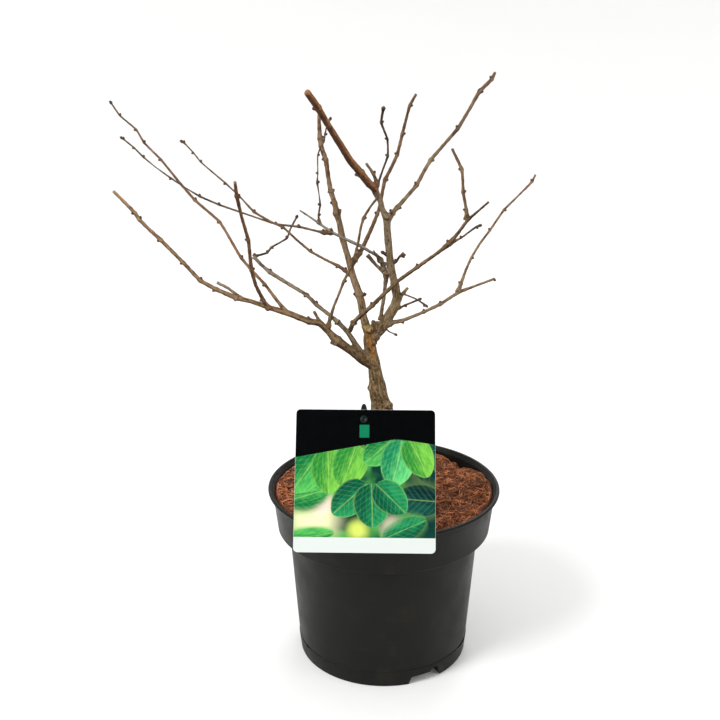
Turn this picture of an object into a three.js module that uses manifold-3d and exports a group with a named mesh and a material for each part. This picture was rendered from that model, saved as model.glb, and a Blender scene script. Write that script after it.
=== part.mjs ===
// A young dwarf ginkgo as it stands in winter: bare, in its nursery pot, with a picture card on a stake.
// Millimetres, +Z up. The origin is the middle of the pot's base, on the surface that it stands on.
import * as THREE from 'three';
import { mergeVertices } from 'three/addons/utils/BufferGeometryUtils.js';
import Module from 'manifold-3d';

const wasm = await Module();
wasm.setup();

// Driving dimensions
const GAP = 0.3; // left between two pieces that touch
const RIM_RADIUS = 115;
const BEAD_RADIUS = 2.4;
const POT_HEIGHT = 178;
const COLLAR_BOTTOM = 136;
const COLLAR_TOP_RADIUS = 110.4; // the collar just under the rim's bead
const COLLAR_BOTTOM_RADIUS = 106;
const WALL_TOP_RADIUS = 95;
const BASE_RADIUS = 85;
const WALL = 1.8;
const FOOT_BAND = { height: 17, step: 0.6 }; // the base's lower band stands a little proud of the wall
const GROOVE = { inner: 60, outer: 76, height: 2.5 }; // ring under the base that carries water to the notches
const NOTCH = { angles: [30, 150, 270], bottom: 37, top: 30, height: 8.5, inner: 66, drain: 4.5 };
const SLIT = { height: 2, z: 16 };
const SLITS = [[68, 20], [188, 20], [299, 5]]; // where each drain slit is, in degrees, and how long
const POT_SIDES = 60;

const SOIL_LEVEL = 170;
const SOIL_RINGS = 11;
const SOIL_SIDES = 40;
const CHIPS = 30;
const CHIP = { thick: [1.4, 2.4], long: [9, 19], reach: 96 };

const CARD = { width: 128, height: 130, thick: 0.8, corner: 4, lean: 30, offCentre: -17, below: 13 };
const PEG = { u: -1.7, v: 121, shaft: 2, hole: 2.4, head: 3.6, headHeight: 1.2 };
const STAKE = { width: 6, thick: 2.4, tip: 135.5, headBottom: 78, foot: 96, footDepth: -72, point: 16 };

const TRUNK_SIDES = 16;
const TRUNK_STEPS = 2; // rings between one given point of the trunk and the next
const THICK = 5.5; // from here up a limb is round enough to need more sides
const THIN = 3;
const BUD = { base: 2.6, length: 1.2, share: 0.55 }; // a bud's foot and how far it stands out

// The trunk from its cut root to the fork: x, y, z and thickness.
const TRUNK = [
  [3, 2, 118, 13], [2, 1, 140, 20], [1, 0, 158, 27], [1, 0, 168, 30], [0, 0, 178, 25.5], [0, 1, 196, 22.5],
  [-1, 3, 218, 21.5], [-1, 4, 238, 23], [-2, 5, 254, 21.5], [-5, 4, 268, 17.6], [-7, 3, 280, 17.2],
  [-8, 2, 289, 14], [-10, 1, 303, 12.4], [-13, 0, 316, 11.8], [-15, 0, 328, 11.4], [-13, 0, 339, 11.5],
];

// Every limb and twig: x, y, z and thickness of the points where it bends, from where it is rooted
// to its tip. L or R says on which side, seen from the front, a bud sits at that point, and T is a bud
// at the tip. A limb without one ends in a cut.
const LIMBS = {
  leftLow: [
    [-12, 0, 302, 8.8], [-21, -3, 309, 8.8], [-32, -6, 319, 8.3], [-45, -10, 330, 9, 'R'],
    [-53.5, -13, 340.5, 6.5], [-61, -16, 349, 6.5], [-71, -18, 351.5, 6, 'L'], [-90, -22, 360.5, 5.9],
    [-107, -25, 366.5, 4.9], [-123, -29, 373.5, 4.4], [-136, -32, 377.5, 4.8, 'L'],
    [-154, -37, 387, 3.9, 'R'], [-167, -41, 396, 3.7, 'L'], [-180.5, -46, 413.5, 3.3, 'R'],
    [-198.5, -52, 435.5, 3.4, 'R'], [-208, -55, 446, 3.1], [-215, -58, 455, 3.3, 'L'],
    [-218, -60, 461, 3.1, 'R'], [-234, -66, 481, 2.6],
  ],
  leftLowStub: [[-131, -31, 376, 3.2], [-143.5, -30, 386, 2.6], [-154, -27, 390.5, 2.9]],
  leftFront: [
    [-107.5, -25, 365.5, 4.4], [-111.5, -31, 375, 3.6, 'R'], [-117, -40, 391.5, 3.3],
    [-119.5, -48, 408, 3.7, 'L'], [-119.5, -56, 424, 3.2], [-119.5, -63, 438, 3.2, 'R'],
    [-123, -75, 460.5, 2.8], [-125, -87, 481, 3.3, 'L'], [-125, -95, 494, 2.7],
  ],
  leftLong: [
    [-92, -22, 362, 3.5], [-100.5, -20, 372.5, 3.3], [-111, -17, 386, 2.8, 'R'], [-124.5, -12, 399.5, 3],
    [-133.5, -9, 409.5, 2.7, 'L'], [-153, -3, 442, 2.5, 'R'], [-175.5, 0, 461.5, 2.5, 'L'],
    [-189, 2, 477, 2.4], [-206, 5, 498, 2, 'R'], [-221, 7, 513, 1.9, 'L'], [-227.5, 8, 524.5, 1.7, 'R'],
    [-242, 9, 537, 1.5, 'L'], [-250, 10, 549, 1.6, 'T'],
  ],
  centreLeft: [
    [-15, 0, 332, 8.8], [-18, 1, 342, 8.3], [-21, 3, 352, 7.3], [-22.5, 5, 364, 7.9],
    [-24.5, 6, 371, 7.3, 'R'], [-31, 10, 389, 6.6], [-34, 12, 401, 6.2], [-37.5, 14, 413, 5.6],
    [-41, 17, 425, 6.4], [-44, 20, 439, 5.6], [-46, 21, 446, 6.7, 'L'], [-48, 23, 455, 5, 'R'],
    [-51.5, 26, 465, 4.7, 'L'], [-54, 29, 478, 4.1], [-56.5, 34, 494, 4.4, 'R'], [-61, 37, 506, 4.7],
    [-62, 39, 513, 4.4, 'L'], [-63, 44, 528, 3.5], [-63, 48, 538, 2.9, 'T'],
  ],
  frontCut: [
    [-9, 3, 471, 6.6], [-15.5, -6, 478.5, 7.4], [-22.5, -17, 489.5, 7.2, 'R'], [-32, -31, 503.5, 6.6],
    [-39.5, -48, 519, 6.1], [-48.5, -68, 537, 5.6], [-56, -86, 553.5, 5.9, 'R'], [-63.5, -104, 567.5, 5.5],
  ],
  crownStub: [[-8, 2, 477, 3], [-11.5, 1, 486.5, 2.9, 'L'], [-18, -2, 496, 2.4]],
  centreRight: [
    [-12, 0, 331, 10.5], [-5.5, 0, 337.5, 11.2], [-0.5, 1, 344, 10.8], [5, 3, 353, 9.8], [10, 5, 362, 9.4],
    [11, 6, 370, 7.8], [9.5, 6, 379, 9], [8, 6, 386, 7.3], [5.5, 6, 396, 7.9], [4, 5, 409, 6.8],
    [2.5, 5, 423, 7], [1.5, 4, 436, 6.7], [1, 4, 445, 7.3], [-3, 4, 453, 5.3], [-5, 3, 461, 5.3],
    [-8.5, 3, 467.5, 6.6], [-11.5, 2, 474.5, 7],
  ],
  rightStub: [[12, 6, 366, 4.8], [16, 7, 371, 3.5], [21.5, 8, 377.5, 2.8]],
  rightLow: [
    [2, 1, 344, 5.8], [9, 3, 345, 4.3], [16, 6, 345.5, 3.5, 'L'], [37, 14, 352, 3, 'R'],
    [53, 19, 358.5, 3.4, 'R'], [63, 22, 364.5, 3.1], [71, 25, 369, 3.6], [88, 33, 373.5, 2.4],
    [106, 42, 378, 2.4, 'L'],
  ],
  rightLowLong: [
    [70, 25, 369, 3.8], [73, 29, 376, 3.3, 'R'], [78, 37, 388, 2.6], [83.5, 44, 398.5, 2.4, 'L'],
    [92, 53, 410.5, 2.4], [102, 61, 422, 2.2, 'R'], [116.5, 74, 440, 2.2, 'L'], [131, 83, 452.5, 1.9],
    [145, 92, 465, 2.4, 'R'], [148.5, 96, 471, 2],
  ],
  leftMid: [
    [-19, 0, 310, 6.3], [-26, -2, 321, 6.3], [-30, -3, 328, 5.3], [-35.5, -4, 337, 4.8],
    [-44, -3, 346, 4.5, 'R'], [-52, 0, 352, 3.7], [-65.5, 5, 361.5, 3.8, 'L'], [-74.5, 9, 369.5, 3.6, 'R'],
    [-90, 13, 378, 3.6], [-110, 19, 389, 3.9, 'L'], [-119, 22, 396, 3.2], [-126, 25, 403, 3.7, 'L'],
  ],
  leftMidTwig: [
    [-126, 25, 403, 2.8], [-120, 28, 404, 2.1], [-113.5, 31, 405.5, 2.1, 'R'], [-110, 34, 410, 1.9, 'L'],
    [-102, 37, 414, 1.8], [-95, 40, 418, 2, 'R'], [-92, 43, 426, 1.7], [-85.5, 47, 438, 2, 'T'],
  ],
  frontRight: [
    [-33, -4, 338, 4.8], [-30, -8, 347, 4.4, 'L'], [-25, -12, 353.5, 4.2], [-11.5, -22, 368.5, 3.9, 'R'],
    [-1.5, -28, 380.5, 3.7], [12.5, -34, 395.5, 3.3], [29, -42, 410, 3.3, 'R'], [45.5, -51, 424.5, 3],
    [55.5, -57, 434.5, 4.6, 'R'], [63, -61, 445, 2.9], [70.5, -67, 457.5, 2.7, 'R'],
    [79.5, -74, 467.5, 1.9], [86.5, -80, 475.5, 1.9],
  ],
  frontRightBud: [
    [55.5, -57, 434.5, 3.6], [66, -52, 438.5, 1.6, 'R'], [80, -44, 447, 1.8, 'L'], [84, -42, 448, 1.6, 'T'],
  ],
  frontRightUp: [
    [70, -67, 458, 4.3], [69, -67, 466, 2.7, 'R'], [67.5, -66, 474, 2.6], [66, -65, 481, 2.8, 'L'],
    [65.5, -64, 491, 2.4], [64.5, -62, 500, 2.8, 'R'], [56, -58, 517, 2.3],
  ],
  rightHigh: [
    [2, 4, 442, 5.8], [6, 6, 449, 4.8, 'R'], [11, 8, 454.5, 4, 'L'], [19, 12, 463, 3.5],
    [28.5, 17, 473.5, 3.7, 'R'], [35, 22, 485, 3.4], [41.5, 26, 495.5, 3.5, 'L'], [52, 31, 507, 3],
    [66.5, 37, 523, 3.3, 'R'], [77, 42, 540, 3], [86.5, 47, 556, 3.6, 'L'], [97.5, 51, 566.5, 3.3, 'R'],
    [100.5, 53, 572.5, 2.7],
  ],
  backRight: [
    [-32.5, 12, 396, 4.6], [-29, 14, 402, 4.5, 'R'], [-24, 17, 409, 4.3, 'R'], [-18.5, 21, 420, 4],
    [-12.5, 27, 432.5, 3.6], [-8, 32, 443, 3.3, 'R'], [-5, 37, 453, 3.2], [-3, 43, 464, 3.3],
    [-1, 48, 473, 3.6, 'L'], [4, 53, 482, 3.3], [10.5, 60, 495, 3.3, 'R'], [15.5, 69, 514, 3.2, 'L'],
    [19.5, 77, 529, 2.7], [22.5, 82, 539.5, 3, 'L'], [28.5, 88, 549.5, 2.6],
  ],
  topTwig: [
    [-8, 2, 474, 2.7], [-6, 0, 481, 2.1], [-2.5, -5, 492, 1.8], [1.5, -10, 504, 2.1, 'R'],
    [1.5, -14, 513, 1.8], [1, -17, 520, 1.9, 'R'], [-4.5, -24, 535, 2.2, 'L'], [-3.5, -27, 543, 2.3],
    [-2.5, -29, 548, 3.2, 'T'],
  ],
  frontTwig: [
    [-53.5, -13, 344, 4.1], [-51, -15, 354, 3.5, 'L'], [-47.5, -17, 366, 2.5], [-43.5, -18, 376, 2.4],
    [-38, -19, 390.5, 2.6, 'L'], [-33, -19, 401, 2.5], [-29, -19, 411, 2.5], [-25, -18, 426, 2.4],
    [-22.5, -16, 440, 2.3], [-20, -14, 448.5, 2.6, 'L'], [-13.5, -12, 459, 2.1], [-7, -10, 467, 2.3, 'R'],
  ],
  backGrey: [
    [-4, 3, 347, 3.7], [-3, 8, 356, 3.5], [-1, 12, 367, 3.4], [0, 14, 378, 3.7], [1, 13, 388, 5.3, 'L'],
    [-1.5, 12, 395, 4.8, 'R'], [-4, 9, 404, 4.3, 'R'], [-9, 6, 410, 3.3], [-14.5, 3, 413.5, 2.8],
    [-22.5, -1, 419.5, 3.1], [-31, -4, 424, 3], [-40, -7, 429, 2.5], [-49.5, -10, 434.5, 2.7, 'L'],
    [-60, -14, 443, 2.3, 'L'], [-69, -19, 450.5, 1.7], [-77, -24, 457, 1.5],
  ],
  backGreyStub: [[1, 13, 389, 3.5], [-9, 15, 398, 3.1], [-17, 17, 407, 4.1]],
  backGreySpur: [[-5, 8, 403, 3.5], [-8, 4, 409, 2.1], [-11, 1, 415, 1.1]],
  backLong: [
    [-49, -10, 435, 4.5], [-56, -8, 433.5, 3.8, 'L'], [-65, -4, 434.5, 2], [-80, 1, 437, 2.2, 'L'],
    [-102, 8, 438, 1.9, 'L'], [-126.5, 15, 444.5, 1.6], [-157, 24, 453, 1.9, 'L'],
    [-176, 29, 460, 1.9, 'L'], [-190, 33, 467.5, 1.2], [-204, 38, 475.5, 1.7, 'R'],
    [-219.5, 43, 485.5, 1.1], [-231, 47, 494, 1.6, 'L'], [-240.5, 51, 502.5, 1.5, 'R'],
    [-251, 55, 510, 1.5, 'L'], [-253.5, 56, 511.5, 1.5, 'T'],
  ],
  leftBack: [
    [-33, 11, 389, 3.3], [-38, 8, 394, 3.6, 'L'], [-44, 5, 399, 3, 'R'], [-56, 1, 406, 2.4],
    [-69.5, -2, 414.5, 2.4, 'L'], [-81.5, -5, 425.5, 2.2], [-94, -7, 438, 2.1, 'R'], [-104, -9, 443, 2],
    [-120, -11, 453, 2.2, 'L'], [-132, -13, 467, 1.4, 'R'], [-144.5, -14, 479.5, 1.6, 'R'],
    [-166, -16, 499, 1.3, 'L'], [-172, -16, 507, 1.2, 'R'], [-180, -17, 516, 1.5, 'L'],
    [-182.5, -17, 517.5, 1.6, 'T'],
  ],
  thinUp: [
    [-60.5, -14, 443, 3.1], [-61, -14, 451, 1.6, 'L'], [-59.5, -13, 460, 1.8, 'R'], [-60.5, -12, 470, 1],
    [-62, -11, 480, 1.9, 'L'], [-61.5, -10, 488, 1.1, 'R'], [-61.5, -7, 504, 1.2, 'L'], [-59, -6, 511, 1.4],
    [-56, -4, 516, 1.6, 'R'], [-55, -3, 522, 1.5, 'L'], [-54, -1, 527, 1.3], [-50, 1, 536, 1.4, 'T'],
  ],
  lowStub: [[-60, -16, 349, 2.9], [-63.5, -14, 354.5, 2.8], [-66.5, -12, 359.5, 2.8]],
  lowTwig: [[-1, 0, 341, 2], [4, -5, 338, 1.4], [11, -9, 336, 1.4, 'T']],
  sideTwigA: [
    [11, 6, 373, 2.4], [18, 1, 373, 1.6, 'R'], [29, -8, 371, 1.5], [36.5, -14, 367.5, 1.7, 'L'],
    [39, -16, 366, 1.9, 'T'],
  ],
  sideTwigB: [[10, 5, 357, 2.8], [14, 7, 358, 2.3, 'R'], [19, 9, 360, 2, 'L'], [34, 16, 364.5, 2, 'T']],
  spurRight: [[6, 6, 401, 2.7], [10, 4, 404, 2.4, 'R'], [14, 1, 410, 2.4], [17, 0, 411, 4.8, 'T']],
  spurIn: [[3, 5, 409, 2.5], [-3, 3, 413, 2.9, 'T']],
  spurCentre: [[-25, 6, 370, 2.8], [-19, 4, 372, 3.1, 'T']],
};

// A closed three.js shape as a solid that can be joined and cut.
function solid(geometry) {
  const bare = geometry.index ? geometry.toNonIndexed() : geometry.clone();
  bare.deleteAttribute('normal');
  bare.deleteAttribute('uv');
  const merged = mergeVertices(bare, 1e-4);
  const corners = merged.index.array;
  const kept = [];
  for (let i = 0; i < corners.length; i += 3) {
    const [a, b, c] = [corners[i], corners[i + 1], corners[i + 2]];
    if (a !== b && b !== c && c !== a) kept.push(a, b, c);
  }
  const vertProperties = new Float32Array(merged.attributes.position.array);
  return new wasm.Manifold(new wasm.Mesh({ numProp: 3, vertProperties, triVerts: new Uint32Array(kept) }));
}

const joined = (solids) => wasm.Manifold.union(solids);
const largest = (shape) => shape.decompose().sort((a, b) => b.volume() - a.volume())[0];

// A turned shape: radius and height pairs, from the axis below round the outside to the axis above.
function turned(profile, sides) {
  const points = profile.map(([radius, height]) => new THREE.Vector2(radius, height));
  return solid(new THREE.LatheGeometry(points, sides).rotateX(Math.PI / 2));
}

// A skin over rings of points, all with the same number of points, closed at both ends.
function skin(rings) {
  const sides = rings[0].length;
  const position = [];
  const face = (a, b, c) => position.push(...a.toArray(), ...b.toArray(), ...c.toArray());
  const middle = (ring) => ring.reduce((sum, p) => sum.add(p), new THREE.Vector3()).divideScalar(sides);
  const first = middle(rings[0]);
  const last = middle(rings[rings.length - 1]);
  for (let i = 0; i < sides; i++) {
    const j = (i + 1) % sides;
    face(first, rings[0][j], rings[0][i]);
    face(last, rings[rings.length - 1][i], rings[rings.length - 1][j]);
    for (let k = 0; k + 1 < rings.length; k++) {
      const [low, high] = [rings[k], rings[k + 1]];
      face(low[i], low[j], high[j]);
      face(low[i], high[j], high[i]);
    }
  }
  const geometry = new THREE.BufferGeometry();
  return geometry.setAttribute('position', new THREE.Float32BufferAttribute(position, 3));
}

// Seeded draws, so that every build gives the same part.
function draws(seed) {
  let state = seed;
  return (low, high) => {
    state = (state * 1664525 + 1013904223) % 4294967296;
    return low + ((high - low) * state) / 4294967296;
  };
}

const degrees = THREE.MathUtils.degToRad;

// Rings square to a path: the path's points, and a function for the radius at a point and an angle.
function ringsAlong(points, sides, radiusAt) {
  let across = new THREE.Vector3(1, 0, 0);
  return points.map((point, i) => {
    const along = directionAt(points, i);
    if (Math.abs(along.dot(across)) > 0.95) across = new THREE.Vector3(0, 1, 0);
    across = across.clone().addScaledVector(along, -along.dot(across)).normalize();
    const other = along.clone().cross(across);
    return Array.from({ length: sides }, (_, k) => {
      const angle = (2 * Math.PI * k) / sides;
      const radius = radiusAt(i, angle);
      return point.clone().addScaledVector(across, radius * Math.cos(angle))
        .addScaledVector(other, radius * Math.sin(angle));
    });
  });
}

function directionAt(points, i) {
  const before = points[Math.max(i - 1, 0)];
  const after = points[Math.min(i + 1, points.length - 1)];
  return after.clone().sub(before).normalize();
}

// The pot: one moulded wall with a rolled rim, a wide collar and a foot with three notches.
function potOutside() {
  const bead = RIM_RADIUS - BEAD_RADIUS;
  const beadHeight = POT_HEIGHT - BEAD_RADIUS;
  const profile = [
    [0, 0], [GROOVE.inner, 0], [GROOVE.inner + 2, GROOVE.height], [GROOVE.outer, GROOVE.height],
    [GROOVE.outer + 2, 0], [BASE_RADIUS - 0.8, 0], [BASE_RADIUS, 0.8],
    [BASE_RADIUS + 1 + FOOT_BAND.step, FOOT_BAND.height - 0.5], [BASE_RADIUS + 1.2, FOOT_BAND.height],
    [WALL_TOP_RADIUS, COLLAR_BOTTOM - 1.2], [COLLAR_BOTTOM_RADIUS - 0.8, COLLAR_BOTTOM - 0.3],
    [COLLAR_BOTTOM_RADIUS, COLLAR_BOTTOM + 0.6], [COLLAR_TOP_RADIUS, beadHeight - BEAD_RADIUS - 0.4],
  ];
  for (let turn = -90; turn <= 90; turn += 30) {
    const angle = degrees(turn);
    profile.push([bead + BEAD_RADIUS * Math.cos(angle), beadHeight + BEAD_RADIUS * Math.sin(angle)]);
  }
  profile.push([0, POT_HEIGHT]);
  return turned(profile, POT_SIDES);
}

// What the pot holds, from its floor up: the cavity, or the soil where it is drawn in by a gap.
function inside(gap, top) {
  const wall = WALL + gap;
  const profile = [
    [0, wall], [GROOVE.inner + 1, wall], [GROOVE.inner + 3, GROOVE.height + wall],
    [GROOVE.outer - 1, GROOVE.height + wall], [GROOVE.outer + 1, wall], [BASE_RADIUS - wall - 0.4, wall],
    [BASE_RADIUS + 1 - wall, FOOT_BAND.height], [WALL_TOP_RADIUS - wall, COLLAR_BOTTOM - 1 + gap],
    [COLLAR_BOTTOM_RADIUS - wall - 0.6, COLLAR_BOTTOM + WALL + gap],
  ];
  const ledge = COLLAR_BOTTOM + WALL;
  const slope = (COLLAR_TOP_RADIUS - COLLAR_BOTTOM_RADIUS) / (POT_HEIGHT - BEAD_RADIUS - ledge);
  profile.push([COLLAR_BOTTOM_RADIUS - wall + slope * (top - ledge), top], [0, top]);
  return profile;
}

// One drain notch's room, grown outwards by a margin.
function notchRoom(angle, margin) {
  const { bottom, top, height, inner } = NOTCH;
  const [halfBottom, halfTop] = [bottom / 2 + margin, top / 2 + margin];
  const room = new THREE.Shape([
    new THREE.Vector2(-halfBottom, -1), new THREE.Vector2(halfBottom, -1),
    new THREE.Vector2(halfTop, height + margin), new THREE.Vector2(-halfTop, height + margin),
  ]);
  const depth = BASE_RADIUS + 8 - inner + margin;
  const geometry = new THREE.ExtrudeGeometry(room, { depth, bevelEnabled: false });
  return solid(geometry.rotateX(Math.PI / 2).translate(0, -inner + margin, 0).rotateZ(degrees(angle)));
}

function notchDrain(angle) {
  const drain = new THREE.CylinderGeometry(NOTCH.drain, NOTCH.drain, 20, 14).rotateX(Math.PI / 2);
  drain.translate(10, -(NOTCH.inner + BASE_RADIUS) / 2, NOTCH.height);
  return solid(drain.rotateZ(degrees(angle)));
}

function drainSlit(angle, length) {
  const slit = new THREE.BoxGeometry(length, 12, SLIT.height);
  return solid(slit.translate(0, -BASE_RADIUS, SLIT.z).rotateZ(degrees(angle)));
}

function potSolid() {
  const cavity = turned(inside(0, POT_HEIGHT + 1), POT_SIDES)
    .subtract(joined(NOTCH.angles.map((angle) => notchRoom(angle, WALL))));
  const notches = NOTCH.angles.flatMap((angle) => [notchRoom(angle, 0), notchDrain(angle)]);
  const slits = SLITS.map(([angle, length]) => drainSlit(angle, length));
  return potOutside().subtract(cavity).subtract(joined([...notches, ...slits]));
}

// Height of the soil's crumbly top: heaped a little at the stem and at both sides, lower at the back.
function soilHeight(x, y) {
  const r = Math.hypot(x, y);
  const heap = 3 * Math.exp(-(r * r) / 900) + 3.5 * (x / 100) ** 2 - 1.5 * (y / 100);
  const crumbs = Math.sin(0.31 * x + 0.17 * y) * Math.cos(0.23 * y - 0.12 * x)
    + 0.7 * Math.sin(0.57 * x - 0.49 * y + 1.3) + 0.5 * Math.cos(0.83 * y + 0.36 * x);
  return SOIL_LEVEL + heap + 0.8 * crumbs;
}

// Flakes of bark that lie half sunk in the soil.
function barkChips() {
  const draw = draws(11);
  const chips = [];
  for (let i = 0; i < CHIPS; i++) {
    const radius = CHIP.reach * Math.sqrt(draw(0.03, 1));
    const turn = draw(0, 2 * Math.PI);
    const [x, y] = [radius * Math.cos(turn), radius * Math.sin(turn)];
    const chip = new THREE.CylinderGeometry(draw(...CHIP.thick), draw(...CHIP.thick), draw(...CHIP.long), 5);
    chip.scale(1, 1, 0.6).rotateX(Math.PI / 2 + draw(-0.22, 0.22)).rotateZ(draw(0, Math.PI));
    chips.push(solid(chip.translate(x, y, soilHeight(x, y) + draw(-0.1, 0.5))));
  }
  return joined(chips);
}

function soilSolid(holes) {
  const top = POT_HEIGHT - BEAD_RADIUS * 2;
  const body = turned(inside(GAP, top), POT_SIDES);
  const rings = [];
  for (let i = 0; i <= SOIL_RINGS; i++) {
    const radius = (RIM_RADIUS * (SOIL_RINGS - i)) / SOIL_RINGS;
    rings.push(Array.from({ length: SOIL_SIDES }, (_, k) => {
      const angle = (2 * Math.PI * k) / SOIL_SIDES;
      const [x, y] = [radius * Math.cos(angle), radius * Math.sin(angle)];
      return new THREE.Vector3(x, y, soilHeight(x, y));
    }));
  }
  rings.unshift(rings[0].map((p) => new THREE.Vector3(p.x, p.y, 0)));
  const crumbly = solid(skin(rings));
  const room = turned(inside(GAP, POT_HEIGHT), POT_SIDES);
  const filled = joined([body.intersect(crumbly), barkChips()]).intersect(room);
  const bumps = joined(NOTCH.angles.map((angle) => notchRoom(angle, WALL + GAP)));
  return largest(filled.subtract(bumps).subtract(holes).asOriginal().simplify(0.05));
}

// The trunk, knobbly all over. Grown by a margin, up to some height, it is the hole that it stands in.
function trunkSolid(margin, upTo) {
  const path = new THREE.CatmullRomCurve3(TRUNK.map(([x, y, z]) => new THREE.Vector3(x, y, z)));
  const spans = TRUNK.length - 1;
  const stations = [];
  for (let i = 0; i <= spans * TRUNK_STEPS; i++) {
    const row = Math.min(Math.floor(i / TRUNK_STEPS), spans - 1);
    const thickness = THREE.MathUtils.lerp(TRUNK[row][3], TRUNK[row + 1][3], i / TRUNK_STEPS - row);
    stations.push({ point: path.getPoint(i / (spans * TRUNK_STEPS)), thickness });
  }
  const standing = stations.filter(({ point }) => point.z < upTo);
  const rings = ringsAlong(standing.map(({ point }) => point), TRUNK_SIDES, (i, angle) => {
    const { point: { z }, thickness } = standing[i];
    const knobs = 0.035 * Math.sin(3 * angle + 0.09 * z) + 0.03 * Math.sin(5 * angle - 0.21 * z + 1)
      + 0.025 * Math.sin(2 * angle + 0.37 * z);
    return (thickness / 2) * (1 + knobs) + margin;
  });
  return solid(skin(rings));
}

// A limb's skin. At a bud it has three rings close together, and the middle one is pulled out on one side
// into the bud's scaly point. A bud at the tip is a small spindle.
function limbSolid(rows) {
  const path = rows.map(([x, y, z]) => new THREE.Vector3(x, y, z));
  const widest = Math.max(...rows.map((row) => row[3]));
  const sides = widest > THICK ? 9 : widest > THIN ? 7 : 5;
  const stations = [];
  rows.forEach(([, , , thickness, side], i) => {
    const along = directionAt(path, i);
    const station = (step, share, out) => stations.push({
      point: path[i].clone().addScaledVector(along, step), radius: (share * thickness) / 2, out,
    });
    if (side === 'T') {
      [[0, 1], [1, 1.7], [2.2, 1.5], [3.6, 0.4]].forEach(([step, share]) => station(step, share));
      return;
    }
    if (!side) {
      station(0, 1);
      return;
    }
    const out = along.clone().cross(new THREE.Vector3(0, 1, 0)).normalize();
    const way = out.multiplyScalar(side === 'R' ? 1 : -1).addScaledVector(along, 0.55).normalize();
    const half = BUD.base / 2 + thickness / 4;
    station(-half, 0.95);
    station(0, 1, { way, length: BUD.length + thickness * BUD.share });
    station(half, 0.9);
  });
  const points = stations.map((station) => station.point);
  const rings = ringsAlong(points, sides, (i) => stations[i].radius);
  stations.forEach(({ point, out }, i) => {
    if (!out) return;
    const facing = (corner) => corner.clone().sub(point).dot(out.way);
    const nearest = rings[i].reduce((best, corner) => (facing(corner) > facing(best) ? corner : best));
    nearest.addScaledVector(out.way, out.length);
  });
  return solid(skin(rings));
}

function treeSolid() {
  const limbs = Object.values(LIMBS).map(limbSolid);
  return largest(joined([trunkSolid(0, Infinity), ...limbs]).asOriginal().simplify(0.06));
}

// The card leans back from the rim to its stake. Its plane: u to the right, v up the card, n outwards.
const lean = degrees(CARD.lean);
const cardUp = new THREE.Vector3(0, Math.sin(lean), Math.cos(lean));
const cardOut = new THREE.Vector3(0, -Math.cos(lean), Math.sin(lean));
const cardFoot = new THREE.Vector3(CARD.offCentre, BEAD_RADIUS - RIM_RADIUS, POT_HEIGHT - BEAD_RADIUS)
  .addScaledVector(cardOut, BEAD_RADIUS + GAP).addScaledVector(cardUp, -CARD.below);
const cardFrame = new THREE.Matrix4()
  .makeBasis(new THREE.Vector3(1, 0, 0), cardUp, cardOut).setPosition(cardFoot);

function cardSolid() {
  const { width, height, corner } = CARD;
  const outline = new THREE.Shape();
  [[width / 2, height, 0], [-width / 2, height, 90], [-width / 2, 0, 180], [width / 2, 0, 270]]
    .forEach(([x, y, turn]) => {
      const [middleX, middleY] = [x - Math.sign(x) * corner, y === 0 ? corner : height - corner];
      outline.absarc(middleX, middleY, corner, degrees(turn), degrees(turn + 90));
    });
  const hole = new THREE.Path().absarc(PEG.u, PEG.v, PEG.hole, 0, 2 * Math.PI);
  outline.holes.push(hole);
  const extrusion = { depth: CARD.thick, bevelEnabled: false, curveSegments: 6 };
  return solid(new THREE.ExtrudeGeometry(outline, extrusion).applyMatrix4(cardFrame));
}

// The stake: a strip behind the card with a pointed top, bent down into the soil.
function stakeSolid(margin) {
  const { width, thick, tip, headBottom, foot, footDepth, point } = STAKE;
  const place = (v, n) => cardFoot.clone().addScaledVector(cardUp, v).addScaledVector(cardOut, n);
  const [front, back] = [-GAP + margin, -GAP - thick - margin];
  const [top, topBack] = [place(tip, front), place(tip, back)];
  const [bend, bendBack] = [place(headBottom, front), place(headBottom + thick / 2, back)];
  const side = [top, topBack, bendBack,
    new THREE.Vector3(0, footDepth + thick / 2 + margin, foot - margin),
    new THREE.Vector3(0, footDepth - thick / 2 - margin, foot - margin), bend];
  const outline = new THREE.Shape(side.map((p) => new THREE.Vector2(p.y, p.z)));
  const strip = new THREE.ExtrudeGeometry(outline, { depth: width + 2 * margin, bevelEnabled: false });
  strip.applyMatrix4(new THREE.Matrix4().makeBasis(
    new THREE.Vector3(0, 1, 0), new THREE.Vector3(0, 0, 1), new THREE.Vector3(1, 0, 0)));
  strip.translate(CARD.offCentre + PEG.u - width / 2 - margin, 0, 0);
  const half = width / 2 + margin;
  const shoulder = top.z - width;
  const corners = [
    [0, foot - 2 - margin], [half, foot + point], [half, shoulder], [0, top.z + 1.5],
    [-half, shoulder], [-half, foot + point],
  ];
  const face = new THREE.Shape(corners.map(([x, z]) => new THREE.Vector2(x + CARD.offCentre + PEG.u, z)));
  const pointed = new THREE.ExtrudeGeometry(face, { depth: 120, bevelEnabled: false }).rotateX(Math.PI / 2);
  return solid(strip).intersect(solid(pointed));
}

function pegSolid() {
  const [from, to] = [-GAP - STAKE.thick / 2, CARD.thick + GAP + PEG.headHeight / 2];
  const shaft = new THREE.CylinderGeometry(PEG.shaft, PEG.shaft, to - from, 12).rotateX(Math.PI / 2);
  shaft.translate(PEG.u, PEG.v, (from + to) / 2);
  const head = new THREE.CylinderGeometry(PEG.head * 0.8, PEG.head, PEG.headHeight, 12).rotateX(Math.PI / 2);
  head.translate(PEG.u, PEG.v, to);
  return joined([shaft, head].map((g) => solid(g.applyMatrix4(cardFrame))));
}

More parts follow.
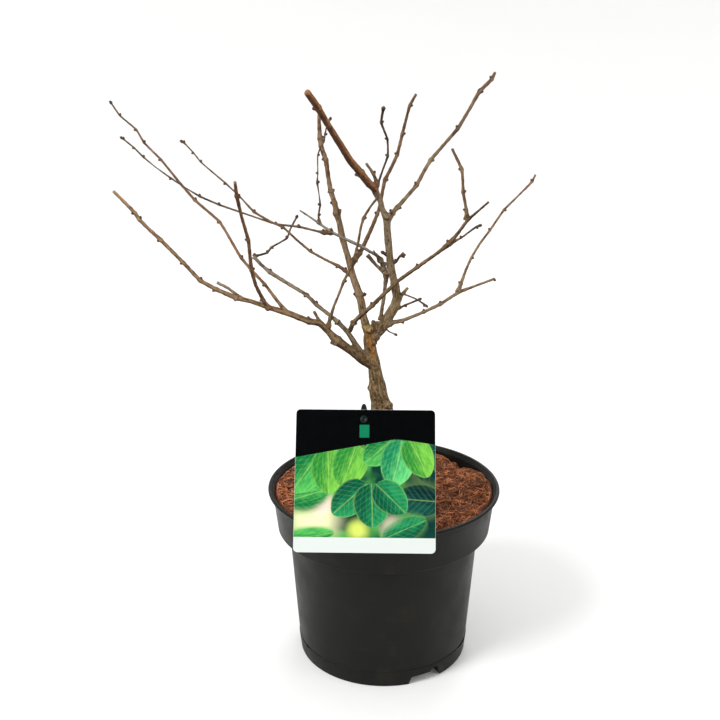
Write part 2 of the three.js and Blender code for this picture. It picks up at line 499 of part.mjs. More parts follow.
const PLASTIC = new THREE.MeshStandardMaterial({ color: 0x2b2c28, roughness: 0.45, metalness: 0 });
const COIR = new THREE.MeshStandardMaterial({ color: 0x8a5230, roughness: 0.95, metalness: 0 });
const BARK = new THREE.MeshStandardMaterial({ color: 0x7a624a, roughness: 0.8, metalness: 0 });
const PRINT = new THREE.MeshStandardMaterial({ color: 0x4f9a3a, roughness: 0.35, metalness: 0 });
const STAKE_GREEN = new THREE.MeshStandardMaterial({ color: 0x0e1a16, roughness: 0.4, metalness: 0 });

const bonsai = new THREE.Group();

function add(name, shape, material) {
  const { vertProperties, triVerts } = shape.getMesh();
  const geometry = new THREE.BufferGeometry();
  geometry.setAttribute('position', new THREE.BufferAttribute(vertProperties, 3));
  geometry.setIndex(new THREE.BufferAttribute(triVerts, 1));
  const mesh = new THREE.Mesh(geometry, material);
  mesh.name = name;
  bonsai.add(mesh);
}

add('pot', potSolid(), PLASTIC);
add('tree', treeSolid(), BARK);
add('soil', soilSolid(joined([trunkSolid(GAP, POT_HEIGHT + 30), stakeSolid(GAP)])), COIR);
add('label_card', cardSolid(), PRINT);
add('label_stake', joined([stakeSolid(0), pegSolid()]), STAKE_GREEN);

export default bonsai;
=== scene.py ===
# %% [markdown]
# # A bare dwarf ginkgo in its nursery pot
# The tree, its pot, the coir it grows in and the picture card on its stake come from the part as plain
# solids at their real size. This lesson makes the fine surfaces round them: bark that follows each limb,
# buds with scales, strands of coir, moulded plastic and a printed card. Lengths are written in
# millimetres and turned into Blender's metres by one factor.

import math

import bmesh
import bpy
import numpy as np
from mathutils import Matrix, Vector, noise


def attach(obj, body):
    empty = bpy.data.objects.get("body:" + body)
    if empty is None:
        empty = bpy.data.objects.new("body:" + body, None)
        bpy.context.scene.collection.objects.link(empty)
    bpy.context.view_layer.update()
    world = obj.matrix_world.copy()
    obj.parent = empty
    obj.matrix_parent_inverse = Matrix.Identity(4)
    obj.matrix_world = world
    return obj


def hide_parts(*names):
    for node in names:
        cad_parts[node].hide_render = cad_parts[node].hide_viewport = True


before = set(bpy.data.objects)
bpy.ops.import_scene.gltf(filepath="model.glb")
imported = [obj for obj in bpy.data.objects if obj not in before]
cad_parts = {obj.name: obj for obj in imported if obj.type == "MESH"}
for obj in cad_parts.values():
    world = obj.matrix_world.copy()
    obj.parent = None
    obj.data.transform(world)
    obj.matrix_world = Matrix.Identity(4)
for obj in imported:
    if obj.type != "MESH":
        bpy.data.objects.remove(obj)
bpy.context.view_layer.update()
MM = 0.001
print("pieces of the part:", sorted(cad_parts))

# %% [markdown]
# ## Camera
# The pot's three circles show how far away and how steep the view is: the lip looks like a wide ellipse,
# the foot like a slightly rounder one. A 55 mm lens a metre in front of the pot, 64 cm up, looking down
# 18.5 degrees and a touch to the left, gives both.

# %% Set the camera
scene = bpy.context.scene
scene.view_settings.view_transform = "Standard"
camera_data = bpy.data.cameras.new("camera")
camera_data.lens = 55
camera_data.sensor_width = 36
camera = bpy.data.objects.new("camera", camera_data)
camera.location = (0, -1.003, 0.643)
camera.rotation_euler = (math.radians(90 - 18.48), 0, math.radians(1.35))
scene.collection.objects.link(camera)
scene.camera = camera
print("camera at", tuple(camera.location))


# %% [markdown]
# ## Small helpers
# A mesh from points and faces, a material with its main shader, and for every finished piece the body it
# rides on and the plain solid of the part that it hides.

# %% Make meshes and hang pieces on the part
def new_object(name, points, faces):
    mesh = bpy.data.meshes.new(name)
    mesh.from_pydata([tuple(p) for p in points], [], [tuple(int(i) for i in f) for f in faces])
    mesh.validate()
    obj = bpy.data.objects.new(name, mesh)
    scene.collection.objects.link(obj)
    return obj


def circle(radius, sides):
    """Points (x, y) round the upright axis."""
    angles = [2 * math.pi * k / sides for k in range(sides)]
    return [(radius * math.cos(angle), radius * math.sin(angle)) for angle in angles]


def stacked(count, sides):
    """The point numbers of rings that follow each other."""
    return [range(i * sides, (i + 1) * sides) for i in range(count)]


def bands(rings):
    """The faces between each ring of points and the next."""
    faces = []
    for low, high in zip(rings, rings[1:]):
        for k in range(len(low)):
            j = (k + 1) % len(low)
            faces.append(tuple(dict.fromkeys((low[k], low[j], high[j], high[k]))))
    return faces


def turned(name, profile, sides):
    """Points (radius, height) in mm, from the axis below round the outside to the axis above."""
    points, rings = [], []
    for radius, height in profile:
        first = len(points)
        rings.append(range(first, first + sides) if radius else [first] * sides)
        spots = circle(radius, sides) if radius else [(0, 0)]
        points.extend((x * MM, y * MM, height * MM) for x, y in spots)
    return new_object(name, points, bands(rings))


def rework(obj, step):
    """Changes the object's mesh by one step on its editable form."""
    bm = bmesh.new()
    bm.from_mesh(obj.data)
    step(bm)
    bm.to_mesh(obj.data)
    bm.free()


def face_outwards(obj):
    rework(obj, lambda bm: bmesh.ops.recalc_face_normals(bm, faces=bm.faces))


def read(obj, key):
    """The place ("co") or the normal of every point."""
    flat = np.empty(len(obj.data.vertices) * 3)
    obj.data.vertices.foreach_get(key, flat)
    return flat.reshape(-1, 3)


def keep(obj, name, kind, values):
    """Keeps a value on each point, where a material or a recipe reads it."""
    field = {"FLOAT": "value", "FLOAT_VECTOR": "vector", "FLOAT_COLOR": "color"}[kind]
    obj.data.attributes.new(name, kind, "POINT").data.foreach_set(field, np.ravel(values))


def cover(obj, *materials):
    obj.data.materials.clear()
    for material in materials:
        obj.data.materials.append(material)


def smooth(obj, angle=None):
    obj.data.shade_smooth()
    if angle is not None:
        obj.data.set_sharp_from_angle(angle=math.radians(angle))


def baked(obj, name=None):
    """The object with its modifiers turned into plain mesh."""
    shape = obj.evaluated_get(bpy.context.evaluated_depsgraph_get())
    mesh = bpy.data.meshes.new_from_object(shape)
    obj.modifiers.clear()
    if obj.type == "MESH":
        obj.data = mesh
        made = obj
    else:
        place = obj.matrix_world.copy()
        bpy.data.objects.remove(obj)
        made = bpy.data.objects.new(name, mesh)
        made.matrix_world = place
        scene.collection.objects.link(made)
    return made


def hang(obj, node):
    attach(obj, "root")
    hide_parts(node)
    obj.data.calc_loop_triangles()
    print(obj.name, "has", len(obj.data.loop_triangles), "triangles")


def remove(*objects):
    for obj in objects:
        bpy.data.objects.remove(obj)


# %% Write materials as short chains of nodes
class Nodes:
    """Shorthand for adding and wiring the nodes of one tree."""

    def __init__(self, tree):
        self.tree = tree

    def put(self, value, socket):
        if isinstance(value, bpy.types.NodeSocket):
            self.tree.links.new(value, socket)
        else:
            socket.default_value = value

    def add(self, kind, values=(), **settings):
        node = self.tree.nodes.new(kind)
        for key, value in settings.items():
            setattr(node, key, value)
        for key, value in dict(values).items():
            self.put(value, node.inputs[key])
        return node

    def math(self, operation, first, second=0.0):
        return self.add("ShaderNodeMath", {0: first, 1: second}, operation=operation).outputs[0]

    def vector(self, operation, first, second=None, scale=None):
        values = {0: first, 1: second, 3: scale}
        values = {key: value for key, value in values.items() if value is not None}
        made = self.add("ShaderNodeVectorMath", values, operation=operation).outputs
        return made["Value" if operation in ("LENGTH", "DISTANCE") else "Vector"]

    def axes(self, place):
        return self.add("ShaderNodeSeparateXYZ", {0: place}).outputs

    def noise(self, place, scale, detail=4, roughness=0.6, stretch=None):
        if stretch:
            place = self.add("ShaderNodeMapping", {"Vector": place, "Scale": stretch}).outputs[0]
        values = {"Vector": place, "Scale": scale, "Detail": detail, "Roughness": roughness}
        return self.add("ShaderNodeTexNoise", values).outputs["Fac"]

    def ramp(self, value, low, high, start=0.0, end=1.0):
        values = {"Value": value, "From Min": low, "From Max": high, "To Min": start, "To Max": end}
        return self.add("ShaderNodeMapRange", values, interpolation_type="SMOOTHSTEP").outputs[0]

    def mix(self, share, first, second, blend="MIX"):
        values = {0: share, 6: first, 7: second}
        return self.add("ShaderNodeMix", values, data_type="RGBA", blend_type=blend).outputs[2]

    def shaded(self, share, color, tint):
        """The colour, a share of it multiplied by a tint."""
        return self.mix(share, color, self.mix(1.0, color, tint, "MULTIPLY"))


class Finish(Nodes):
    """A material with its principled shader."""

    def __init__(self, name, roughness, specular=0.5):
        self.material = bpy.data.materials.new(name)
        self.material.use_nodes = True
        super().__init__(self.material.node_tree)
        self.shader = self.tree.nodes["Principled BSDF"]
        self.shader.inputs["Roughness"].default_value = roughness
        self.shader.inputs["Specular IOR Level"].default_value = specular

    def place(self):
        return self.add("ShaderNodeTexCoord").outputs["Object"]

    def attribute(self, name, output="Vector"):
        return self.add("ShaderNodeAttribute", attribute_name=name).outputs[output]

    def bump(self, height, strength, distance):
        values = {"Height": height, "Strength": strength, "Distance": distance}
        return self.add("ShaderNodeBump", values).outputs[0]

    def finish(self, color, roughness=None, normal=None):
        self.put(color, self.shader.inputs["Base Color"])
        if roughness is not None:
            self.put(roughness, self.shader.inputs["Roughness"])
        if normal is not None:
            self.put(normal, self.shader.inputs["Normal"])
        return self.material


def rgb(red, green, blue):
    """A colour as the eye reads it, from 0 to 255, turned into the light values of a shader."""
    parts = [c / 255 for c in (red, green, blue)]
    return tuple(c / 12.92 if c < 0.04045 else ((c + 0.055) / 1.055) ** 2.4 for c in parts) + (1.0,)


# %% [markdown]
# ## Floor and light
# A pale round floor that curves up into a low wall looks the same from every side. White surroundings
# give the plastic its soft edges, and one large lamp from the upper left shapes the limbs.

# %% Build the floor and the lamps
FLOOR = {"radius": 2200, "bend": 900, "wall": 900, "sides": 72}
LAMPS = (  # name, place and size in metres, power in watts
    ("key", (-1.5, -1.3, 2.0), 1.0, 50), ("fill", (1.9, -0.9, 1.2), 1.4, 8),
    ("back", (0.4, 1.8, 1.9), 1.4, 18),
)
LIT_SPOT = Vector((0, 0, 0.25))
DAYLIGHT = 0.7


def studio_floor():
    profile = [(0, 0), (FLOOR["radius"], 0)]
    for turn in range(10, 91, 10):
        angle = math.radians(turn)
        profile.append((FLOOR["radius"] + FLOOR["bend"] * math.sin(angle),
                        FLOOR["bend"] * (1 - math.cos(angle))))
    profile.append((profile[-1][0], profile[-1][1] + FLOOR["wall"]))
    floor = turned("floor", profile, FLOOR["sides"])
    floor.data.flip_normals()
    cover(floor, Finish("studio_paper", 0.9, 0.1).finish(rgb(244, 244, 243)))
    smooth(floor)


def lamp(name, place, size, power):
    data = bpy.data.lights.new(name, "AREA")
    data.shape = "DISK"
    data.size = size
    data.energy = power
    obj = bpy.data.objects.new(name, data)
    obj.location = place
    obj.rotation_euler = (LIT_SPOT - Vector(place)).to_track_quat("-Z", "Y").to_euler()
    scene.collection.objects.link(obj)


studio_floor()
for values in LAMPS:
    lamp(*values)
world = bpy.data.worlds.new("studio")
world.use_nodes = True
sky = world.node_tree.nodes["Background"].inputs
sky[0].default_value = (1, 1, 1, 1)
sky[1].default_value = DAYLIGHT
scene.world = world
print("floor and", len(LAMPS), "lamps")

# %% [markdown]
# ## The pot
# The real pot is thin plastic moulded in one shot: a rolled rim, a wide collar that steps in to a
# tapering wall, a low foot band, three notches under the foot with a drain hole each, and slits above it.
# It could be modelled by pushing a cylinder about, but a moulded wall is a turned outline, so the outline
# is drawn once outside and once inside, both are turned, and the notches are cut out as on the real one.

# %% Draw the pot's outline
POT = {"rim": 115, "bead": 2.4, "height": 178, "collar_bottom": 136, "collar_top_radius": 110.4,
       "collar_bottom_radius": 106, "wall_top_radius": 95, "base": 85, "wall": 1.8}
FOOT_BAND = {"height": 17}
GROOVE = {"inner": 60, "outer": 76, "height": 2.5}
NOTCH = {"angles": (30, 150, 270), "bottom": 37, "top": 30, "height": 8.5, "inner": 66, "drain": 4.5}
SLITS = ((68, 20), (188, 20), (299, 5))  # where each drain slit is, in degrees, and how long
SLIT = {"height": 2, "z": 16}
LIP = 1.7  # radius of the rolled edge
POT_SIDES = 168

def arc(centre, radius, start, end, steps):
    """Part of a circle in the outline's plane, from one angle to another, in degrees."""
    turns = [math.radians(start + (end - start) * k / steps) for k in range(steps + 1)]
    return [(centre[0] + radius * math.cos(t), centre[1] + radius * math.sin(t)) for t in turns]


def pot_outline():
    lip_radius = POT["rim"] - LIP
    lip_height = POT["height"] - LIP
    collar = (POT["collar_bottom_radius"], POT["collar_bottom"])
    return [
        (0, 0), (GROOVE["inner"], 0), (GROOVE["inner"] + 2, GROOVE["height"]),
        (GROOVE["outer"], GROOVE["height"]), (GROOVE["outer"] + 2, 0),
        *arc((POT["base"] - 1.2, 1.2), 1.2, -90, 0, 4),
        *arc((POT["base"] + 0.9, FOOT_BAND["height"] - 0.7), 0.7, -10, 80, 3),
        (POT["base"] + 1.2, FOOT_BAND["height"] + 0.25),
        (POT["wall_top_radius"] - 0.3, collar[1] - 4), *arc((POT["wall_top_radius"] + 2, collar[1] - 2.8),
                                                            2, 175, 100, 4),
        (collar[0] - 1.6, collar[1] - 0.5), *arc((collar[0] - 0.75, collar[1] + 0.3), 0.75, -90, 5, 5),
        (POT["collar_top_radius"] - 0.1, lip_height - LIP - 2.6),
        (POT["collar_top_radius"] + 0.8, lip_height - LIP - 0.5),
        *arc((lip_radius, lip_height), LIP, -70, 90, 10),
    ]


def pot_inside(top):
    wall = POT["wall"]
    slope = (POT["collar_top_radius"] - POT["collar_bottom_radius"]) / 38
    shelf = POT["collar_bottom"] + wall
    return [
        (0, wall), (GROOVE["inner"] + 1, wall), (GROOVE["inner"] + 3, GROOVE["height"] + wall),
        (GROOVE["outer"] - 1, GROOVE["height"] + wall), (GROOVE["outer"] + 1, wall),
        (POT["base"] - wall - 0.4, wall), (POT["base"] + 1 - wall, FOOT_BAND["height"]),
        (POT["wall_top_radius"] - wall, POT["collar_bottom"] - 1),
        (POT["collar_bottom_radius"] - wall - 0.6, shelf),
        (POT["collar_bottom_radius"] - wall + slope * (POT["height"] - 4 - shelf), POT["height"] - 4),
        (POT["rim"] - 2 * LIP - 0.1, POT["height"] - 0.6), (POT["rim"] - 1.5 * LIP, top), (0, top),
    ]


# %% Cut the notches, drain holes and slits
def prism(name, outline, near, far, angle):
    """A flat outline (across, height) pushed outwards from near to far, at an angle from the front."""
    count = len(outline)
    points = [(x, -depth, z) for depth in (near, far) for x, z in outline]
    faces = [tuple(range(count)), tuple(range(2 * count - 1, count - 1, -1))]
    faces += [(k, k + count, (k + 1) % count + count, (k + 1) % count) for k in range(count)]
    obj = new_object(name, points, faces)
    obj.data.transform(Matrix.Rotation(math.radians(angle), 4, "Z") @ Matrix.Scale(MM, 4))
    face_outwards(obj)
    return obj


def notch_room(angle, margin):
    low, high = NOTCH["bottom"] / 2 + margin, NOTCH["top"] / 2 + margin
    top = NOTCH["height"] + margin
    outline = [(-low, -1), (low, -1), (high + 0.8, top - 1.2), (high - 1, top), (1 - high, top),
               (-high - 0.8, top - 1.2)]
    return prism("notch", outline, NOTCH["inner"] - margin, POT["base"] + 8, angle)


def drain_hole(angle):
    outline = [(10 + x, z) for x, z in arc((0, NOTCH["height"]), NOTCH["drain"], 0, 345, 23)]
    return prism("drain", outline, NOTCH["inner"] - 6, POT["base"] + 3, angle)


def slit_hole(angle, length):
    half, rise = length / 2, SLIT["height"] / 2
    outline = [(-half, SLIT["z"] - rise * 0.5), (half, SLIT["z"] - rise), (half, SLIT["z"] + rise),
               (-half, SLIT["z"] + rise)]
    return prism("slit", outline, POT["base"] - 8, POT["base"] + 6, angle)


def boolean(obj, operation, others):
    for other in others:
        cut = obj.modifiers.new("cut", "BOOLEAN")
        cut.operation = operation
        cut.object = other
        cut.solver = "EXACT"
    baked(obj)
    remove(*others)


def make_pot():
    pot = turned("pot_wall", pot_outline() + [(0, POT["height"])], POT_SIDES)
    cavity = turned("cavity", pot_inside(POT["height"] + 1), POT_SIDES)
    boolean(cavity, "DIFFERENCE", [notch_room(angle, POT["wall"]) for angle in NOTCH["angles"]])
    cuts = [notch_room(angle, 0) for angle in NOTCH["angles"]]
    cuts += [drain_hole(angle) for angle in NOTCH["angles"]]
    cuts += [slit_hole(angle, length) for angle, length in SLITS]
    boolean(pot, "DIFFERENCE", [cavity, *cuts])
    return pot


# %% [markdown]
# ## The pot's plastic
# Recycled charcoal polypropylene: dark, faintly warm, between matt and satin. Up close it has a fine
# orange-peel grain, a few scuffs that run round the wall, and dust that gathers low on the sides. The grain
# is bump; the scuffs, and the dust as patches all over, change colour only, and the roughness has a noise of
# its own.

# %% Mix the plastic
def pot_plastic():
    plastic = Finish("pot_plastic", 0.4, 0.11)
    place = plastic.place()
    cloudy = plastic.noise(place, 9, 3)
    dust = plastic.ramp(plastic.noise(place, 38, 6, 0.65), 0.52, 0.8)
    scuffs = plastic.ramp(plastic.noise(place, 60, 5, 0.6, stretch=(0.35, 0.35, 7)), 0.62, 0.8)
    color = plastic.mix(cloudy, rgb(18, 18, 16), rgb(24, 24, 21))
    color = plastic.mix(plastic.math("MULTIPLY", dust, 0.2), color, rgb(60, 56, 42))
    color = plastic.mix(plastic.math("MULTIPLY", scuffs, 0.25), color, rgb(62, 62, 57))
    rough = plastic.ramp(plastic.noise(place, 24, 4), 0.3, 0.7, 0.36, 0.5)
    normal = plastic.bump(plastic.noise(place, 900, 2), 0.12, 0.0002)
    return plastic.finish(color, rough, normal)


# %% Make the pot
pot = make_pot()
cover(pot, pot_plastic())
smooth(pot, 28)
hang(pot, "pot")
print("pot", [round(v, 3) for v in pot.dimensions])

# %% [markdown]
# ## The tree's routes
# Each limb is a row of points where it bends, with its thickness there and the side on which a bud sits.
# A ginkgo shoot is nearly straight from bud to bud and turns a little at each, so the route through the
# points is a curve with short, soft bends. The rows are the part's own, in millimetres.

# %% The limbs: x, y, z, thickness, and L, R or T for a bud on the left, on the right or at the tip
TRUNK = [
    (3, 2, 118, 13), (2, 1, 140, 20), (1, 0, 158, 27), (1, 0, 168, 30), (0, 0, 178, 25.5), (0, 1, 196, 22.5),
    (-1, 3, 218, 21.5), (-1, 4, 238, 23), (-2, 5, 254, 21.5), (-5, 4, 268, 17.6), (-7, 3, 280, 17.2),
    (-8, 2, 289, 14), (-10, 1, 303, 12.4), (-13, 0, 316, 11.8), (-15, 0, 328, 11.4), (-13, 0, 339, 11.5),
]
LIMBS = {
    "leftLow": [
        (-12, 0, 302, 8.8), (-21, -3, 309, 8.8), (-32, -6, 319, 8.3), (-45, -10, 330, 9, "R"),
        (-53.5, -13, 340.5, 6.5), (-61, -16, 349, 6.5), (-71, -18, 351.5, 6, "L"), (-90, -22, 360.5, 5.9),
        (-107, -25, 366.5, 4.9), (-123, -29, 373.5, 4.4), (-136, -32, 377.5, 4.8, "L"),
        (-154, -37, 387, 3.9, "R"), (-167, -41, 396, 3.7, "L"), (-180.5, -46, 413.5, 3.3, "R"),
        (-198.5, -52, 435.5, 3.4, "R"), (-208, -55, 446, 3.1), (-215, -58, 455, 3.3, "L"),
        (-218, -60, 461, 3.1, "R"), (-234, -66, 481, 2.6),
    ],
    "leftLowStub": [(-131, -31, 376, 3.2), (-143.5, -30, 386, 2.6), (-154, -27, 390.5, 2.9)],
    "leftFront": [
        (-107.5, -25, 365.5, 4.4), (-111.5, -31, 375, 3.6, "R"), (-117, -40, 391.5, 3.3),
        (-119.5, -48, 408, 3.7, "L"), (-119.5, -56, 424, 3.2), (-119.5, -63, 438, 3.2, "R"),
        (-123, -75, 460.5, 2.8), (-125, -87, 481, 3.3, "L"), (-125, -95, 494, 2.7),
    ],
    "leftLong": [
        (-92, -22, 362, 3.5), (-100.5, -20, 372.5, 3.3), (-111, -17, 386, 2.8, "R"),
        (-124.5, -12, 399.5, 3), (-133.5, -9, 409.5, 2.7, "L"), (-153, -3, 442, 2.5, "R"),
        (-175.5, 0, 461.5, 2.5, "L"), (-189, 2, 477, 2.4), (-206, 5, 498, 2, "R"), (-221, 7, 513, 1.9, "L"),
        (-227.5, 8, 524.5, 1.7, "R"), (-242, 9, 537, 1.5, "L"), (-250, 10, 549, 1.6, "T"),
    ],
    "centreLeft": [
        (-15, 0, 332, 8.8), (-18, 1, 342, 8.3), (-21, 3, 352, 7.3), (-22.5, 5, 364, 7.9),
        (-24.5, 6, 371, 7.3, "R"), (-31, 10, 389, 6.6), (-34, 12, 401, 6.2), (-37.5, 14, 413, 5.6),
        (-41, 17, 425, 6.4), (-44, 20, 439, 5.6), (-46, 21, 446, 6.7, "L"), (-48, 23, 455, 5, "R"),
        (-51.5, 26, 465, 4.7, "L"), (-54, 29, 478, 4.1), (-56.5, 34, 494, 4.4, "R"), (-61, 37, 506, 4.7),
        (-62, 39, 513, 4.4, "L"), (-63, 44, 528, 3.5), (-63, 48, 538, 2.9, "T"),
    ],
    "frontCut": [
        (-9, 3, 471, 6.6), (-15.5, -6, 478.5, 7.4), (-22.5, -17, 489.5, 7.2, "R"), (-32, -31, 503.5, 6.6),
        (-39.5, -48, 519, 6.1), (-48.5, -68, 537, 5.6), (-56, -86, 553.5, 5.9, "R"),
        (-63.5, -104, 567.5, 5.5),
    ],
    "crownStub": [(-8, 2, 477, 3), (-11.5, 1, 486.5, 2.9, "L"), (-18, -2, 496, 2.4)],
    "centreRight": [
        (-12, 0, 331, 10.5), (-5.5, 0, 337.5, 11.2), (-0.5, 1, 344, 10.8), (5, 3, 353, 9.8),
        (10, 5, 362, 9.4),
        (11, 6, 370, 7.8), (9.5, 6, 379, 9), (8, 6, 386, 7.3), (5.5, 6, 396, 7.9), (4, 5, 409, 6.8),
        (2.5, 5, 423, 7), (1.5, 4, 436, 6.7), (1, 4, 445, 7.3), (-3, 4, 453, 5.3), (-5, 3, 461, 5.3),
        (-8.5, 3, 467.5, 6.6), (-11.5, 2, 474.5, 7),
    ],
    "rightStub": [(12, 6, 366, 4.8), (16, 7, 371, 3.5), (21.5, 8, 377.5, 2.8)],
    "rightLow": [
        (2, 1, 344, 5.8), (9, 3, 345, 4.3), (16, 6, 345.5, 3.5, "L"), (37, 14, 352, 3, "R"),
        (53, 19, 358.5, 3.4, "R"), (63, 22, 364.5, 3.1), (71, 25, 369, 3.6), (88, 33, 373.5, 2.4),
        (106, 42, 378, 2.4, "L"),
    ],
    "rightLowLong": [
        (70, 25, 369, 3.8), (73, 29, 376, 3.3, "R"), (78, 37, 388, 2.6), (83.5, 44, 398.5, 2.4, "L"),
        (92, 53, 410.5, 2.4), (102, 61, 422, 2.2, "R"), (116.5, 74, 440, 2.2, "L"), (131, 83, 452.5, 1.9),
        (145, 92, 465, 2.4, "R"), (148.5, 96, 471, 2),
    ],
    "leftMid": [
        (-19, 0, 310, 6.3), (-26, -2, 321, 6.3), (-30, -3, 328, 5.3), (-35.5, -4, 337, 4.8),
        (-44, -3, 346, 4.5, "R"), (-52, 0, 352, 3.7), (-65.5, 5, 361.5, 3.8, "L"),
        (-74.5, 9, 369.5, 3.6, "R"), (-90, 13, 378, 3.6), (-110, 19, 389, 3.9, "L"), (-119, 22, 396, 3.2),
        (-126, 25, 403, 3.7, "L"),
    ],
    "leftMidTwig": [
        (-126, 25, 403, 2.8), (-120, 28, 404, 2.1), (-113.5, 31, 405.5, 2.1, "R"),
        (-110, 34, 410, 1.9, "L"), (-102, 37, 414, 1.8), (-95, 40, 418, 2, "R"), (-92, 43, 426, 1.7),
        (-85.5, 47, 438, 2, "T"),
    ],
    "frontRight": [
        (-33, -4, 338, 4.8), (-30, -8, 347, 4.4, "L"), (-25, -12, 353.5, 4.2),
        (-11.5, -22, 368.5, 3.9, "R"), (-1.5, -28, 380.5, 3.7), (12.5, -34, 395.5, 3.3),
        (29, -42, 410, 3.3, "R"), (45.5, -51, 424.5, 3), (55.5, -57, 434.5, 4.6, "R"), (63, -61, 445, 2.9),
        (70.5, -67, 457.5, 2.7, "R"), (79.5, -74, 467.5, 1.9), (86.5, -80, 475.5, 1.9),
    ],
    "frontRightBud": [
        (55.5, -57, 434.5, 3.6), (66, -52, 438.5, 1.6, "R"), (80, -44, 447, 1.8, "L"),
        (84, -42, 448, 1.6, "T"),
    ],
    "frontRightUp": [
        (70, -67, 458, 4.3), (69, -67, 466, 2.7, "R"), (67.5, -66, 474, 2.6), (66, -65, 481, 2.8, "L"),
        (65.5, -64, 491, 2.4), (64.5, -62, 500, 2.8, "R"), (56, -58, 517, 2.3),
    ],
    "rightHigh": [
        (2, 4, 442, 5.8), (6, 6, 449, 4.8, "R"), (11, 8, 454.5, 4, "L"), (19, 12, 463, 3.5),
        (28.5, 17, 473.5, 3.7, "R"), (35, 22, 485, 3.4), (41.5, 26, 495.5, 3.5, "L"), (52, 31, 507, 3),
        (66.5, 37, 523, 3.3, "R"), (77, 42, 540, 3), (86.5, 47, 556, 3.6, "L"), (97.5, 51, 566.5, 3.3, "R"),
        (100.5, 53, 572.5, 2.7),
    ],
    "backRight": [
        (-32.5, 12, 396, 4.6), (-29, 14, 402, 4.5, "R"), (-24, 17, 409, 4.3, "R"), (-18.5, 21, 420, 4),
        (-12.5, 27, 432.5, 3.6), (-8, 32, 443, 3.3, "R"), (-5, 37, 453, 3.2), (-3, 43, 464, 3.3),
        (-1, 48, 473, 3.6, "L"), (4, 53, 482, 3.3), (10.5, 60, 495, 3.3, "R"), (15.5, 69, 514, 3.2, "L"),
        (19.5, 77, 529, 2.7), (22.5, 82, 539.5, 3, "L"), (28.5, 88, 549.5, 2.6),
    ],
    "topTwig": [
        (-8, 2, 474, 2.7), (-6, 0, 481, 2.1), (-2.5, -5, 492, 1.8), (1.5, -10, 504, 2.1, "R"),
        (1.5, -14, 513, 1.8), (1, -17, 520, 1.9, "R"), (-4.5, -24, 535, 2.2, "L"), (-3.5, -27, 543, 2.3),
        (-2.5, -29, 548, 3.2, "T"),
    ],
    "frontTwig": [
        (-53.5, -13, 344, 4.1), (-51, -15, 354, 3.5, "L"), (-47.5, -17, 366, 2.5), (-43.5, -18, 376, 2.4),
        (-38, -19, 390.5, 2.6, "L"), (-33, -19, 401, 2.5), (-29, -19, 411, 2.5), (-25, -18, 426, 2.4),
        (-22.5, -16, 440, 2.3), (-20, -14, 448.5, 2.6, "L"), (-13.5, -12, 459, 2.1),
        (-7, -10, 467, 2.3, "R"),
    ],
    "backGrey": [
        (-4, 3, 347, 3.7), (-3, 8, 356, 3.5), (-1, 12, 367, 3.4), (0, 14, 378, 3.7), (1, 13, 388, 5.3, "L"),
        (-1.5, 12, 395, 4.8, "R"), (-4, 9, 404, 4.3, "R"), (-9, 6, 410, 3.3), (-14.5, 3, 413.5, 2.8),
        (-22.5, -1, 419.5, 3.1), (-31, -4, 424, 3), (-40, -7, 429, 2.5), (-49.5, -10, 434.5, 2.7, "L"),
        (-60, -14, 443, 2.3, "L"), (-69, -19, 450.5, 1.7), (-77, -24, 457, 1.5),
    ],
    "backGreyStub": [(1, 13, 389, 3.5), (-9, 15, 398, 3.1), (-17, 17, 407, 4.1)],
    "backGreySpur": [(-5, 8, 403, 3.5), (-8, 4, 409, 2.1), (-11, 1, 415, 1.1)],
    "backLong": [
        (-49, -10, 435, 4.5), (-56, -8, 433.5, 3.8, "L"), (-65, -4, 434.5, 2), (-80, 1, 437, 2.2, "L"),
        (-102, 8, 438, 1.9, "L"), (-126.5, 15, 444.5, 1.6), (-157, 24, 453, 1.9, "L"),
        (-176, 29, 460, 1.9, "L"), (-190, 33, 467.5, 1.2), (-204, 38, 475.5, 1.7, "R"),
        (-219.5, 43, 485.5, 1.1), (-231, 47, 494, 1.6, "L"), (-240.5, 51, 502.5, 1.5, "R"),
        (-251, 55, 510, 1.5, "L"), (-253.5, 56, 511.5, 1.5, "T"),
    ],
    "leftBack": [
        (-33, 11, 389, 3.3), (-38, 8, 394, 3.6, "L"), (-44, 5, 399, 3, "R"), (-56, 1, 406, 2.4),
        (-69.5, -2, 414.5, 2.4, "L"), (-81.5, -5, 425.5, 2.2), (-94, -7, 438, 2.1, "R"), (-104, -9, 443, 2),
        (-120, -11, 453, 2.2, "L"), (-132, -13, 467, 1.4, "R"), (-144.5, -14, 479.5, 1.6, "R"),
        (-166, -16, 499, 1.3, "L"), (-172, -16, 507, 1.2, "R"), (-180, -17, 516, 1.5, "L"),
        (-182.5, -17, 517.5, 1.6, "T"),
    ],
    "thinUp": [
        (-60.5, -14, 443, 3.1), (-61, -14, 451, 1.6, "L"), (-59.5, -13, 460, 1.8, "R"),
        (-60.5, -12, 470, 1), (-62, -11, 480, 1.9, "L"), (-61.5, -10, 488, 1.1, "R"),
        (-61.5, -7, 504, 1.2, "L"), (-59, -6, 511, 1.4), (-56, -4, 516, 1.6, "R"), (-55, -3, 522, 1.5, "L"),
        (-54, -1, 527, 1.3), (-50, 1, 536, 1.4, "T"),
    ],
    "lowStub": [(-60, -16, 349, 2.9), (-63.5, -14, 354.5, 2.8), (-66.5, -12, 359.5, 2.8)],
    "lowTwig": [(-1, 0, 341, 2), (4, -5, 338, 1.4), (11, -9, 336, 1.4, "T")],
    "sideTwigA": [
        (11, 6, 373, 2.4), (18, 1, 373, 1.6, "R"), (29, -8, 371, 1.5), (36.5, -14, 367.5, 1.7, "L"),
        (39, -16, 366, 1.9, "T"),
    ],
    "sideTwigB": [(10, 5, 357, 2.8), (14, 7, 358, 2.3, "R"), (19, 9, 360, 2, "L"), (34, 16, 364.5, 2, "T")],
